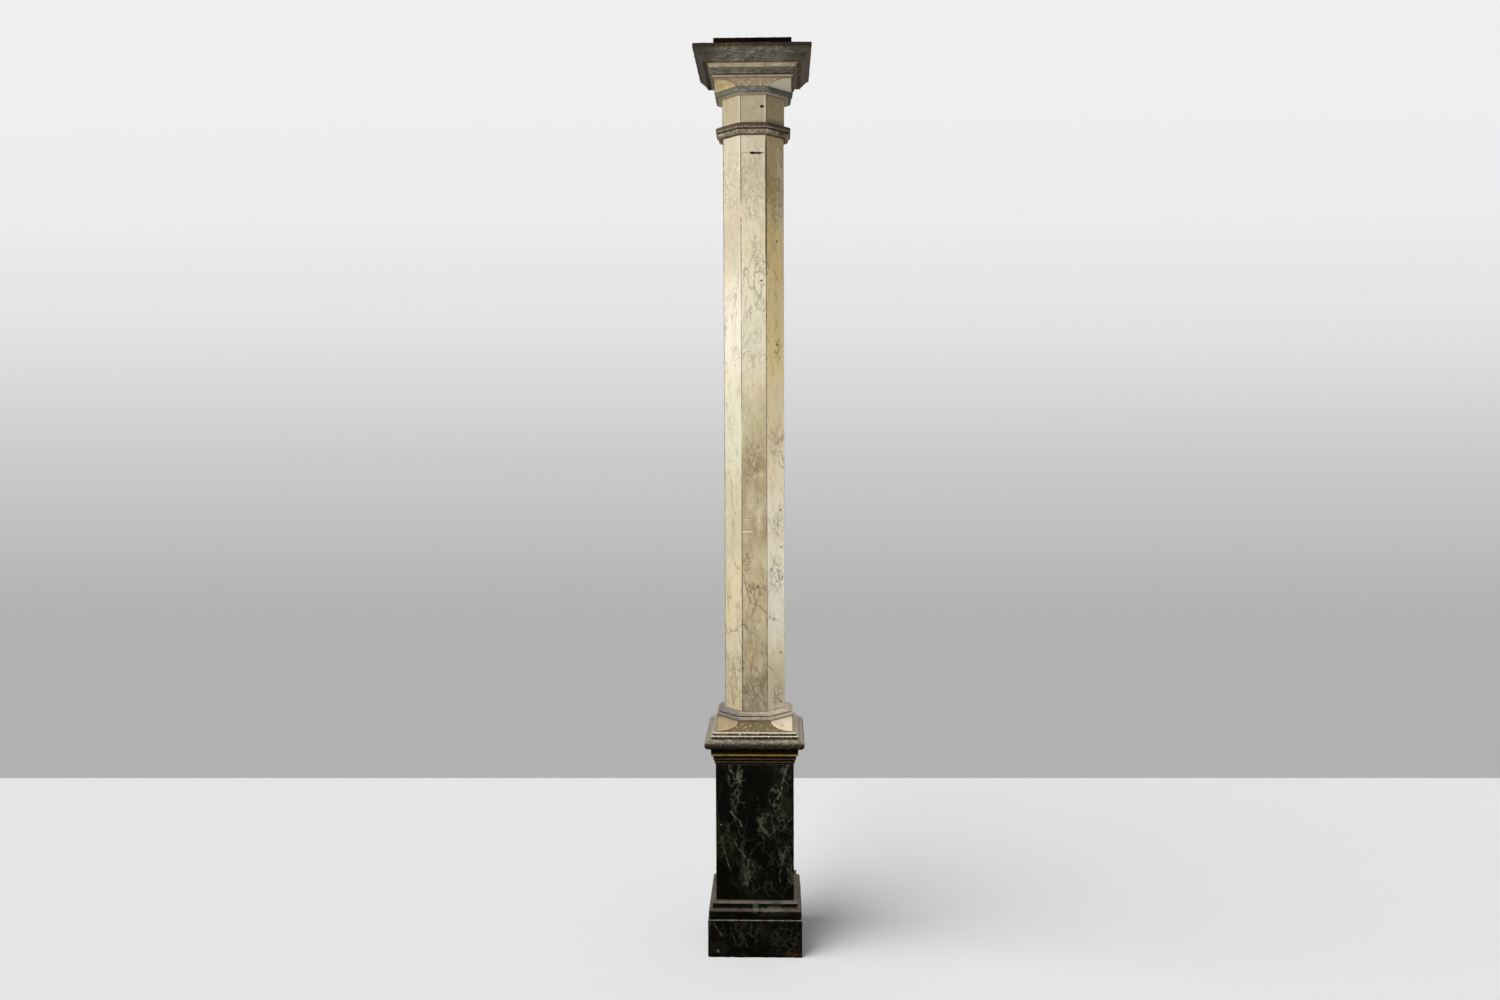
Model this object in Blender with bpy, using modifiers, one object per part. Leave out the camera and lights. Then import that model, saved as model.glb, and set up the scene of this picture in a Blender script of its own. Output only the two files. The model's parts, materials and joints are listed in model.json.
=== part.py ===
"""A tall octagonal column on a square pedestal, built up in timber and painted as marble.

Metres, +Z up. The origin is in the middle of the plinth's underside, and -Y is the front.
The pieces stand on each other from the plinth up, each with a thin joint under it.
"""
import math

import bmesh
import bpy
from mathutils import Matrix

COLUMN_NAME = "octagonal_column"
SQUARE = 4
OCTAGON = 8
ARC_STEPS = 6
CUTTER_STEPS = 40
MERGE_DISTANCE = 0.00005

# The joint that is left where one piece stands on the next
JOINT = 0.0003

# Pedestal: the plinth block, and the moulding between it and the die
PLINTH_WIDTH = 0.276
PLINTH_HEIGHT = 0.1105
PLINTH_ARRIS = 0.0018
BAND_SET_BACK = 0.0025
BAND_HEIGHT = 0.0225
BAND_SHOULDER_RISE = 0.0070
DIE_FILLET_PROJECTION = 0.0105
DIE_FILLET_HEIGHT = 0.0150
DIE_COVE_RISE = 0.0055
DIE_SEAT_MARGIN = 0.0010

# Pedestal: the die, and the cornice over it
DIE_WIDTH = 0.2290
DIE_HEIGHT = 0.4033
DIE_ARRIS = 0.0012
CORNICE_BEAD_RADIUS = 0.0030
CORNICE_BEAD_STEP = 0.0030
CORNICE_QUIRK_HEIGHT = 0.0035
GILT_BEAD_RADIUS = 0.0038
GILT_QUIRK_HEIGHT = 0.0065
CORNICE_WIDTH = 0.2554
CORNICE_FASCIA_HEIGHT = 0.0142

# Base: the square torus and the two fillets over it
TORUS_WIDTH = 0.292
TORUS_RADIUS = 0.0145
TORUS_QUIRK_HEIGHT = 0.0030
TORUS_QUIRK_DEPTH = 0.0040
WIDE_FILLET_WIDTH = 0.2586
NARROW_FILLET_WIDTH = 0.2454
BASE_FILLET_HEIGHT = 0.0060
BASE_QUIRK_HEIGHT = 0.0020
BASE_QUIRK_DEPTH = 0.0030

# Base: the block that turns the square into an octagon, and the ring over it
BASE_BLOCK_WIDTH = 0.225
BASE_BLOCK_HEIGHT = 0.0312
BASE_BLOCK_LIP = 0.0025
RING_UNDERCUT = 0.0025
RING_UNDERCUT_HEIGHT = 0.0020
RING_FILLET_HEIGHT = 0.0095
RING_GROOVE_HEIGHT = 0.0020
RING_GROOVE_DEPTH = 0.0050
RING_LIP_HEIGHT = 0.0020
RING_COVE_RISE = 0.0077

# Shaft, with its width taken across two opposite flats
SHAFT_WIDTH = 0.179
SHAFT_HEIGHT = 1.6788
SHAFT_ARRIS = 0.0012
COLLAR_MARGIN = 0.0008

# Neck ring round the top of the shaft
NECK_RING_WIDTH = 0.219
NECK_SEAT_HEIGHT = 0.0020
NECK_OVOLO_RISE = 0.0085
NECK_BEAD_SET_BACK = 0.0055
NECK_BEAD_HEIGHT = 0.0030
NECK_GROOVE_HEIGHT = 0.0025
NECK_GROOVE_DEPTH = 0.0030
NECK_FASCIA_HEIGHT = 0.0105
NECK_SHOULDER_RISE = 0.0070

# Capital: the necking and the ring over it
NECKING_WIDTH = 0.182
NECKING_HEIGHT = 0.0791
CAPITAL_RING_SEAT_HEIGHT = 0.0020
CAPITAL_RING_OVOLO_RISE = 0.0065
CAPITAL_RING_FASCIA_HEIGHT = 0.0095
CAPITAL_RING_WIDTH = 0.222

# Capital: the block that turns the octagon back into a square
CAPITAL_BLOCK_WIDTH = 0.225
CAPITAL_BLOCK_HEIGHT = 0.0245
CAPITAL_BLOCK_LIP = 0.0020

# Capital: the mouldings between the block and the crown
BED_SEAT_HEIGHT = 0.0015
BED_BEAD_PROJECTION = 0.0015
BED_BEAD_RADIUS = 0.0032
BED_QUIRK_HEIGHT = 0.0025
BED_FASCIA_WIDTH = 0.2370
BED_FASCIA_HEIGHT = 0.0125
COVE_QUIRK_HEIGHT = 0.0024
COVE_QUIRK_DEPTH = 0.0020
COVE_FOOT_WIDTH = 0.2450
COVE_HEAD_WIDTH = 0.2610
COVE_HEIGHT = 0.0110

# Capital: the crown and the plain block that stands on it
CROWN_FOOT_WIDTH = 0.2840
CROWN_WIDTH = 0.3370
CROWN_SPLAY_LIP = 0.0015
CROWN_SPLAY_RISE = 0.0300
CROWN_SPLAY_SAG = 0.0016
CROWN_FILLET_HEIGHT = 0.0132
TOP_BLOCK_WIDTH = 0.225
TOP_BLOCK_HEIGHT = 0.0317
TOP_BLOCK_ARRIS = 0.0012

# Paints: colour, roughness and metallic value
CREAM_PAINT = ((0.56, 0.47, 0.32), 0.55, 0.0)
GREY_PAINT = ((0.19, 0.17, 0.15), 0.50, 0.0)
CROWN_PAINT = ((0.11, 0.11, 0.085), 0.50, 0.0)
COVE_PAINT = ((0.30, 0.26, 0.18), 0.50, 0.0)
BLACK_PAINT = ((0.010, 0.012, 0.010), 0.38, 0.0)
CORNICE_PAINT = ((0.045, 0.040, 0.015), 0.42, 0.0)
BARE_WOOD = ((0.035, 0.025, 0.018), 0.80, 0.0)


class Profile:
    """The outline of one side of a moulding, drawn from its foot up."""

    def __init__(self, half_width):
        self.points = [(half_width, 0.0)]

    @property
    def half(self):
        """Half the width at the last point."""
        return self.points[-1][0]

    @property
    def height(self):
        """How high the last point stands over the foot."""
        return self.points[-1][1]

    def rise(self, height):
        """Go straight up."""
        self.points.append((self.half, self.height + height))

    def step_to(self, half_width):
        """Go level, out or in, to another half width."""
        self.points.append((half_width, self.height))

    def curve_from_upright(self, half_width, rise):
        """Draw a quarter of an ellipse that starts upright and ends level."""
        start, foot = self.points[-1]
        for index in range(1, ARC_STEPS + 1):
            turn = math.pi / 2 * index / ARC_STEPS
            across = (half_width - start) * (1 - math.cos(turn))
            self.points.append((start + across, foot + rise * math.sin(turn)))

    def curve_from_level(self, half_width, rise):
        """Draw a quarter of an ellipse that starts level and ends upright."""
        start, foot = self.points[-1]
        for index in range(1, ARC_STEPS + 1):
            turn = math.pi / 2 * index / ARC_STEPS
            across = (half_width - start) * math.sin(turn)
            self.points.append((start + across, foot + rise * (1 - math.cos(turn))))

    def half_round(self, radius):
        """Draw a bead that swells by its radius and comes back."""
        foot = self.half
        self.curve_from_level(foot + radius, radius)
        self.curve_from_upright(foot, radius)

    def hollow_slope(self, half_width, rise, sag):
        """Draw a sloping face that is hollowed a little in its middle."""
        start, foot = self.points[-1]
        length = math.hypot(half_width - start, rise)
        for index in range(1, ARC_STEPS + 1):
            share = index / ARC_STEPS
            hollow = 4 * sag * share * (1 - share)
            across = (half_width - start) * share - hollow * rise / length
            up = rise * share + hollow * (half_width - start) / length
            self.points.append((start + across, foot + up))


def make_collection(name):
    """Add a collection to the scene."""
    collection = bpy.data.collections.new(name)
    bpy.context.scene.collection.children.link(collection)
    return collection


def paint(piece, finish):
    """Give a piece its own material."""
    colour, roughness, metallic = finish
    material = bpy.data.materials.new(piece.name + "_paint")
    material.use_nodes = True
    shader = material.node_tree.nodes["Principled BSDF"]
    shader.inputs["Base Color"].default_value = (*colour, 1.0)
    shader.inputs["Roughness"].default_value = roughness
    shader.inputs["Metallic"].default_value = metallic
    piece.data.materials.append(material)


def link_mesh(name, shape, collection):
    """Turn a bmesh into a named object in a collection."""
    mesh = bpy.data.meshes.new(name)
    shape.to_mesh(mesh)
    shape.free()
    piece = bpy.data.objects.new(name, mesh)
    collection.objects.link(piece)
    return piece


def prism(name, sides, width, height, arris, collection):
    """Make an upright prism on the origin's level, with its arrises rounded."""
    shape = bmesh.new()
    turn = Matrix.Rotation(math.pi / sides, 4, "Z")
    lift = Matrix.Translation((0, 0, height / 2))
    corner = width / 2 / math.cos(math.pi / sides)
    bmesh.ops.create_cone(shape, cap_ends=True, segments=sides, radius1=corner, radius2=corner,
                          depth=height, matrix=lift @ turn)
    piece = link_mesh(name, shape, collection)
    if arris:
        bevel = piece.modifiers.new("arris", "BEVEL")
        bevel.width = arris
        bevel.segments = 2
        bevel.limit_method = "ANGLE"
        bevel.angle_limit = math.radians(30)
    return piece


def moulding(name, sides, profile, collection):
    """Run a profile round a square or an octagon, with mitres at the corners."""
    corner = 1 / math.cos(math.pi / sides)
    outline = [(0.0, profile.height)]
    outline += [(half * corner, up) for half, up in reversed(profile.points)]
    outline.append((0.0, 0.0))
    mesh = bpy.data.meshes.new(name)
    edges = [(index, index + 1) for index in range(len(outline) - 1)]
    mesh.from_pydata([(across, 0.0, up) for across, up in outline], edges, [])
    piece = bpy.data.objects.new(name, mesh)
    piece.rotation_euler.z = math.pi / sides
    collection.objects.link(piece)
    screw = piece.modifiers.new("run_round", "SCREW")
    screw.axis = "Z"
    screw.steps = sides
    screw.render_steps = sides
    screw.use_smooth_shade = False
    screw.use_merge_vertices = True
    screw.merge_threshold = MERGE_DISTANCE
    return piece


def corner_block(name, width, height, lip, square_end, parts, cutters):
    """Make a square block with its corners hollowed away to an octagon at one end.

    square_end is 0 where the foot stays square and 1 where the head does.
    """
    block = prism(name, SQUARE, width, height, 0.0, parts)
    flat = width / 2
    corner = flat * math.sqrt(2)
    level = height * (1 - square_end)
    shape = bmesh.new()
    for quarter in range(SQUARE):
        turn = Matrix.Rotation(math.pi / 4 + quarter * math.pi / 2, 4, "Z")
        place = Matrix.Translation((corner, 0, level))
        squash = Matrix.Diagonal((corner - flat, 1, height - lip, 1))
        lay_down = Matrix.Rotation(math.pi / 2, 4, "X")
        bmesh.ops.create_cone(shape, cap_ends=True, segments=CUTTER_STEPS, radius1=1, radius2=1,
                              depth=width, matrix=turn @ place @ squash @ lay_down)
    bmesh.ops.recalc_face_normals(shape, faces=shape.faces)
    cutter = link_mesh(name + "_corner_hollows", shape, cutters)
    cutter.hide_render = True
    cutter.display_type = "WIRE"
    cut = block.modifiers.new("corner_hollows", "BOOLEAN")
    cut.operation = "DIFFERENCE"
    cut.solver = "EXACT"
    cut.object = cutter
    return block, cutter


def plinth_moulding_profile():
    """A band, a rounded shoulder, a fillet and a cove up to the die."""
    fillet = DIE_WIDTH / 2 + DIE_FILLET_PROJECTION
    profile = Profile(PLINTH_WIDTH / 2 - BAND_SET_BACK)
    profile.rise(BAND_HEIGHT)
    profile.curve_from_upright(fillet, BAND_SHOULDER_RISE)
    profile.rise(DIE_FILLET_HEIGHT)
    profile.curve_from_level(DIE_WIDTH / 2 + DIE_SEAT_MARGIN, DIE_COVE_RISE)
    return profile


def cornice_profile():
    """Two small beads, a gilt bead and a plain fascia, each further out than the last."""
    profile = Profile(DIE_WIDTH / 2 + DIE_SEAT_MARGIN)
    for _ in range(2):
        profile.rise(CORNICE_QUIRK_HEIGHT)
        profile.half_round(CORNICE_BEAD_RADIUS)
        profile.step_to(profile.half + CORNICE_BEAD_STEP)
    profile.rise(GILT_QUIRK_HEIGHT)
    profile.step_to(CORNICE_WIDTH / 2 - GILT_BEAD_RADIUS)
    profile.half_round(GILT_BEAD_RADIUS)
    profile.step_to(CORNICE_WIDTH / 2)
    profile.rise(CORNICE_FASCIA_HEIGHT)
    return profile


def torus_profile():
    """A half round, then two fillets with a narrow groove under each."""
    profile = Profile(TORUS_WIDTH / 2 - TORUS_RADIUS)
    profile.half_round(TORUS_RADIUS)
    profile.step_to(WIDE_FILLET_WIDTH / 2 - TORUS_QUIRK_DEPTH)
    profile.rise(TORUS_QUIRK_HEIGHT)
    profile.step_to(WIDE_FILLET_WIDTH / 2)
    profile.rise(BASE_FILLET_HEIGHT)
    profile.step_to(NARROW_FILLET_WIDTH / 2 - BASE_QUIRK_DEPTH)
    profile.rise(BASE_QUIRK_HEIGHT)
    profile.step_to(NARROW_FILLET_WIDTH / 2)
    profile.rise(BASE_FILLET_HEIGHT)
    return profile


def base_ring_profile():
    """A fillet over an undercut, a groove, and a cove up to the shaft."""
    block = BASE_BLOCK_WIDTH / 2
    profile = Profile(block - RING_UNDERCUT)
    profile.rise(RING_UNDERCUT_HEIGHT)
    profile.step_to(block)
    profile.rise(RING_FILLET_HEIGHT)
    profile.step_to(block - 2 * RING_GROOVE_DEPTH)
    profile.rise(RING_GROOVE_HEIGHT)
    profile.step_to(block - RING_GROOVE_DEPTH)
    profile.rise(RING_LIP_HEIGHT)
    profile.curve_from_level(SHAFT_WIDTH / 2 + COLLAR_MARGIN, RING_COVE_RISE)
    return profile


def neck_ring_profile():
    """A seat on the shaft, an ovolo, a small bead, a groove, a fascia and a round shoulder."""
    fascia = NECK_RING_WIDTH / 2
    profile = Profile(SHAFT_WIDTH / 2 + COLLAR_MARGIN)
    profile.rise(NECK_SEAT_HEIGHT)
    profile.curve_from_level(fascia - NECK_BEAD_SET_BACK, NECK_OVOLO_RISE)
    profile.rise(NECK_BEAD_HEIGHT)
    profile.step_to(fascia - NECK_BEAD_SET_BACK - NECK_GROOVE_DEPTH)
    profile.rise(NECK_GROOVE_HEIGHT)
    profile.step_to(fascia)
    profile.rise(NECK_FASCIA_HEIGHT)
    profile.curve_from_upright(NECKING_WIDTH / 2 + COLLAR_MARGIN, NECK_SHOULDER_RISE)
    return profile


def capital_ring_profile():
    """A seat on the necking, an ovolo and a fascia."""
    profile = Profile(NECKING_WIDTH / 2 + COLLAR_MARGIN)
    profile.rise(CAPITAL_RING_SEAT_HEIGHT)
    profile.curve_from_level(CAPITAL_RING_WIDTH / 2, CAPITAL_RING_OVOLO_RISE)
    profile.rise(CAPITAL_RING_FASCIA_HEIGHT)
    return profile


def bed_fascia_profile():
    """A small bead, a groove and a plain fascia."""
    bead = CAPITAL_BLOCK_WIDTH / 2 + BED_BEAD_PROJECTION
    profile = Profile(bead)
    profile.rise(BED_SEAT_HEIGHT)
    profile.half_round(BED_BEAD_RADIUS)
    profile.rise(BED_QUIRK_HEIGHT)
    profile.step_to(BED_FASCIA_WIDTH / 2)
    profile.rise(BED_FASCIA_HEIGHT)
    return profile


def bed_cove_profile():
    """A groove, then a hollow face that leans out under the crown."""
    profile = Profile(COVE_FOOT_WIDTH / 2 - COVE_QUIRK_DEPTH)
    profile.rise(COVE_QUIRK_HEIGHT)
    profile.step_to(COVE_FOOT_WIDTH / 2)
    profile.curve_from_upright(COVE_HEAD_WIDTH / 2, COVE_HEIGHT)
    return profile


def crown_profile():
    """A lip, a splayed face with a slight hollow, and a fillet at the head."""
    profile = Profile(CROWN_FOOT_WIDTH / 2)
    profile.rise(CROWN_SPLAY_LIP)
    profile.hollow_slope(CROWN_WIDTH / 2, CROWN_SPLAY_RISE, CROWN_SPLAY_SAG)
    profile.rise(CROWN_FILLET_HEIGHT)
    return profile


class Stack:
    """Stands each new piece on the one before it, with a joint between them."""

    def __init__(self):
        self.parts = make_collection(COLUMN_NAME)
        self.cutters = make_collection(COLUMN_NAME + "_cutters")
        self.level = 0.0

    def stand(self, piece, height, finish, cutter=None):
        """Lift a piece to the head of the stack and paint it."""
        piece.location.z = self.level
        if cutter:
            cutter.location.z = self.level
        paint(piece, finish)
        self.level += height + JOINT

    def add_prism(self, name, sides, width, height, arris, finish):
        """Add a plain upright prism."""
        piece = prism(name, sides, width, height, arris, self.parts)
        self.stand(piece, height, finish)

    def add_moulding(self, name, sides, profile, finish):
        """Add a moulding that is run round the column."""
        piece = moulding(name, sides, profile, self.parts)
        self.stand(piece, profile.height, finish)

    def add_corner_block(self, name, width, height, lip, square_end, finish):
        """Add a block that is square at one end and octagonal at the other."""
        block, cutter = corner_block(name, width, height, lip, square_end, self.parts, self.cutters)
        self.stand(block, height, finish, cutter)


def build_pedestal(stack):
    """Plinth, moulding, die and cornice."""
    stack.add_prism("plinth_block", SQUARE, PLINTH_WIDTH, PLINTH_HEIGHT, PLINTH_ARRIS, BLACK_PAINT)
    stack.add_moulding("plinth_moulding", SQUARE, plinth_moulding_profile(), BLACK_PAINT)
    stack.add_prism("pedestal_die", SQUARE, DIE_WIDTH, DIE_HEIGHT, DIE_ARRIS, BLACK_PAINT)
    stack.add_moulding("pedestal_cornice", SQUARE, cornice_profile(), CORNICE_PAINT)


def build_base(stack):
    """Torus, block and ring under the shaft."""
    stack.add_moulding("base_torus", SQUARE, torus_profile(), GREY_PAINT)
    stack.add_corner_block("base_block", BASE_BLOCK_WIDTH, BASE_BLOCK_HEIGHT, BASE_BLOCK_LIP, 0,
                           CREAM_PAINT)
    stack.add_moulding("base_ring", OCTAGON, base_ring_profile(), GREY_PAINT)


def build_shaft(stack):
    """Shaft and the ring round its neck."""
    stack.add_prism("shaft", OCTAGON, SHAFT_WIDTH, SHAFT_HEIGHT, SHAFT_ARRIS, CREAM_PAINT)
    stack.add_moulding("neck_ring", OCTAGON, neck_ring_profile(), GREY_PAINT)


def build_capital(stack):
    """Necking, ring, block, mouldings, crown and the plain block on top."""
    stack.add_prism("necking", OCTAGON, NECKING_WIDTH, NECKING_HEIGHT, SHAFT_ARRIS, CREAM_PAINT)
    stack.add_moulding("capital_ring", OCTAGON, capital_ring_profile(), GREY_PAINT)
    stack.add_corner_block("capital_block", CAPITAL_BLOCK_WIDTH, CAPITAL_BLOCK_HEIGHT,
                           CAPITAL_BLOCK_LIP, 1, CREAM_PAINT)
    stack.add_moulding("bed_fascia", SQUARE, bed_fascia_profile(), GREY_PAINT)
    stack.add_moulding("bed_cove", SQUARE, bed_cove_profile(), COVE_PAINT)
    stack.add_moulding("crown", SQUARE, crown_profile(), CROWN_PAINT)
    stack.add_prism("top_block", SQUARE, TOP_BLOCK_WIDTH, TOP_BLOCK_HEIGHT, TOP_BLOCK_ARRIS,
                    BARE_WOOD)


def main():
    """Clear the scene and build the column from the floor up."""
    for old in list(bpy.data.objects):
        bpy.data.objects.remove(old)
    stack = Stack()
    build_pedestal(stack)
    build_base(stack)
    build_shaft(stack)
    build_capital(stack)


main()
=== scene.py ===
"""The looks of a tall octagonal column on a square pedestal, built in timber and painted as marble.

Metres, +Z up, with the front at -Y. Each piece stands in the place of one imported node. It keeps that node's
outline, and adds rounded arrises, chips, cracks and the marbler's paint.
"""
import json
import logging
import math
from collections.abc import Callable
from dataclasses import dataclass, field
from enum import Enum

import bmesh
import bpy
import numpy as np
from mathutils import Matrix, Vector, kdtree

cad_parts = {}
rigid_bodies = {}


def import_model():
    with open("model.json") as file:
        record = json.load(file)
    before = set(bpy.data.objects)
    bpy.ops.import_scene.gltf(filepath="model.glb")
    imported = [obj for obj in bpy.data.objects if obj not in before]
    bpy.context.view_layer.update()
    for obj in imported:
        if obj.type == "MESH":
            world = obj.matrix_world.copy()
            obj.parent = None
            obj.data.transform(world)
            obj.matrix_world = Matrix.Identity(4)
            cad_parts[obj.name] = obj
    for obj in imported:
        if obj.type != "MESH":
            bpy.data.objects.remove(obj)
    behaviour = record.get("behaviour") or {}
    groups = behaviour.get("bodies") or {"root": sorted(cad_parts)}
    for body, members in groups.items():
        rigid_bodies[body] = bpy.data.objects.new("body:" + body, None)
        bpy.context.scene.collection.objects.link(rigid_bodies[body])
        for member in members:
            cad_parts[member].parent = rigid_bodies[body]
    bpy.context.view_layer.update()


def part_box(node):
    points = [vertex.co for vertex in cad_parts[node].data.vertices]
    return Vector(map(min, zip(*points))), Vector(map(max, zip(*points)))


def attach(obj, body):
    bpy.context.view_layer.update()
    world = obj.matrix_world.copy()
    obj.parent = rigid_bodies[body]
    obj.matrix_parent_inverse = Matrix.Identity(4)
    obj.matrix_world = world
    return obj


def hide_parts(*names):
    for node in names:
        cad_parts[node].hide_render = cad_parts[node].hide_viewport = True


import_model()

LOG = logging.getLogger("column")
BODY = "root"

Object = bpy.types.Object
Material = bpy.types.Material
Socket = bpy.types.NodeSocket
Point = tuple[float, float]
Place = tuple[float, float, float]
Colour = tuple[float, float, float]
Value = Socket | float
Input = Socket | float | Colour

ARC_STEPS = 12
ARRIS_SEGMENTS = 3
CAP_INSET = 0.003
NEARLY_STRAIGHT = math.radians(155)
SMOOTH_ANGLE = math.radians(32)
SHARP_ANGLE = math.radians(30)
MAX_CUTS = 90
ROWS_AT_ONCE = 30
NEAR = 1e-5
CUT_DEPTH = 0.002
SIDE_OUTER = 0.0015
SIDE_INNER = 0.0035
GREY_LINE = 0.0004
GILT_LINE = 0.0003


class Section(Enum):
    """The plan of a piece: how many sides it has."""

    SQUARE = 4
    OCTAGON = 8

    @property
    def half_side(self) -> float:
        """Half of a side's length, for a half width of one."""
        return math.tan(math.pi / self.value)

    @property
    def corner(self) -> float:
        """A corner's distance from the axis, for a half width of one."""
        return 1 / math.cos(math.pi / self.value)


class Facing(Enum):
    """A side of the column, by its angle from the front, turning to the right."""

    LEFT_FRONT = -45
    FRONT = 0
    RIGHT_FRONT = 45

    @property
    def outward(self) -> Vector:
        """The direction that the side faces."""
        turn = math.radians(self.value)
        return Vector((math.sin(turn), -math.cos(turn), 0))

    @property
    def across(self) -> Vector:
        """The direction to the right along the side, seen from outside."""
        turn = math.radians(self.value)
        return Vector((math.cos(turn), math.sin(turn), 0))


class Outline:
    """One side of a piece, drawn from its foot up as points of half width and height."""

    def __init__(self, half: float, foot: float) -> None:
        """Start at the foot.

        Args:
            half: Half the width at the foot.
            foot: The foot's height over the floor.
        """
        self.points: list[Point] = [(half, foot)]

    @property
    def half(self) -> float:
        """Half the width at the last point."""
        return self.points[-1][0]

    @property
    def level(self) -> float:
        """The height of the last point."""
        return self.points[-1][1]

    def rise(self, height: float) -> None:
        """Go straight up by a height."""
        self.points.append((self.half, self.level + height))

    def rise_to(self, level: float) -> None:
        """Go straight up to a level."""
        self.points.append((self.half, level))

    def step(self, half: float) -> None:
        """Go level, out or in, to another half width."""
        self.points.append((half, self.level))

    def upright_quarter(self, half: float, height: float) -> None:
        """Draw a quarter of an ellipse that starts upright and ends level."""
        start, foot = self.points[-1]
        for index in range(1, ARC_STEPS + 1):
            turn = math.pi / 2 * index / ARC_STEPS
            self.points.append((start + (half - start) * (1 - math.cos(turn)),
                                foot + height * math.sin(turn)))

    def level_quarter(self, half: float, height: float) -> None:
        """Draw a quarter of an ellipse that starts level and ends upright."""
        start, foot = self.points[-1]
        for index in range(1, ARC_STEPS + 1):
            turn = math.pi / 2 * index / ARC_STEPS
            self.points.append((start + (half - start) * math.sin(turn),
                                foot + height * (1 - math.cos(turn))))

    def bead(self, radius: float) -> None:
        """Draw a half round that swells by its radius and comes back."""
        foot = self.half
        self.level_quarter(foot + radius, radius)
        self.upright_quarter(foot, radius)

    def slope(self, half: float, height: float, sag: float) -> None:
        """Draw a sloping face that is hollowed a little in its middle.

        Args:
            half: Half the width at the slope's head.
            height: How far it rises.
            sag: How deep the hollow is in its middle.
        """
        start, foot = self.points[-1]
        run = half - start
        length = math.hypot(run, height)
        for index in range(1, ARC_STEPS + 1):
            share = index / ARC_STEPS
            hollow = 4 * sag * share * (1 - share)
            self.points.append((start + run * share - hollow * height / length,
                                foot + height * share + hollow * run / length))

    def closed(self) -> list[Vector]:
        """The outline with a short level run at its foot and at its head."""
        first, last = self.points[0], self.points[-1]
        line = [(first[0] - CAP_INSET, first[1]), *self.points, (last[0] - CAP_INSET, last[1])]
        return [Vector(point) for point in line]

    def softened(self, radius: float) -> list[Vector]:
        """The outline with each sharp corner rounded.

        Args:
            radius: How much of each side of a corner the rounding takes, at most.

        Returns:
            The points from the foot's level run to the head's.
        """
        line = self.closed()
        rounded = [line[0]]
        for before, corner, after in zip(line, line[1:], line[2:]):
            back, ahead = before - corner, after - corner
            if back.angle(ahead) > NEARLY_STRAIGHT:
                rounded.append(corner)
                continue
            cut = min(radius, 0.4 * back.length, 0.4 * ahead.length)
            start, end = corner + back.normalized() * cut, corner + ahead.normalized() * cut
            rounded += [start, 0.25 * start + 0.5 * corner + 0.25 * end, end]
        return [*rounded, line[-1]]

    def corners(self) -> tuple[list[Vector], list[Vector]]:
        """The sharp corners of the outline, as two lists: those that stand out and those that are sunk."""
        line = self.closed()
        proud, sunk = [], []
        for before, corner, after in zip(line, line[1:], line[2:]):
            arriving, leaving = corner - before, after - corner
            if arriving.angle(leaving) < math.pi - NEARLY_STRAIGHT:
                continue
            turn = arriving.x * leaving.y - arriving.y * leaving.x
            (proud if turn > 0 else sunk).append(corner)
        return proud, sunk


class Bench:
    """The maker's bench: operators that shape the piece in hand."""

    @staticmethod
    def clear() -> None:
        """Put down whatever is selected."""
        for other in bpy.context.view_layer.objects:
            other.select_set(False)

    @staticmethod
    def take(piece: Object) -> None:
        """Take one piece in hand."""
        Bench.clear()
        piece.select_set(True)
        bpy.context.view_layer.objects.active = piece

    @staticmethod
    def added(name: str) -> Object:
        """Name the primitive just added and fix its place in its mesh."""
        piece = bpy.context.object
        piece.name = name
        piece.data.name = name
        bpy.ops.object.transform_apply(location=True, rotation=True, scale=True)
        return piece

    @staticmethod
    def select_edges(piece: Object, wanted: Callable[[bmesh.types.BMEdge], bool]) -> None:
        """Select the edges that a test picks, in edit mode.

        Args:
            piece: The piece being edited.
            wanted: A function of an edge that says whether to select it.
        """
        shape = bmesh.from_edit_mesh(piece.data)
        bpy.ops.mesh.select_mode(type="EDGE")
        for edge in shape.edges:
            edge.select = wanted(edge)
        shape.select_flush_mode()
        bmesh.update_edit_mesh(piece.data)

    @staticmethod
    def finish_with(piece: Object, kind: str, **settings: object) -> None:
        """Add a modifier with its settings and apply it.

        Args:
            piece: The piece to finish.
            kind: The modifier's type.
            **settings: Values set on the modifier.
        """
        Bench.take(piece)
        modifier = piece.modifiers.new(kind.lower(), kind)
        for key, value in settings.items():
            setattr(modifier, key, value)
        bpy.ops.object.modifier_apply(modifier=modifier.name)

    @staticmethod
    def cut_away(piece: Object, cutter: Object) -> None:
        """Cut one shape out of a piece and throw the cutter away."""
        Bench.finish_with(piece, "BOOLEAN", operation="DIFFERENCE", solver="EXACT", object=cutter)
        bpy.data.objects.remove(cutter)

    @staticmethod
    def smooth(piece: Object) -> None:
        """Shade the rounded faces smooth and keep the flats crisp."""
        Bench.take(piece)
        bpy.ops.object.shade_smooth_by_angle(angle=SMOOTH_ANGLE)


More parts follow.
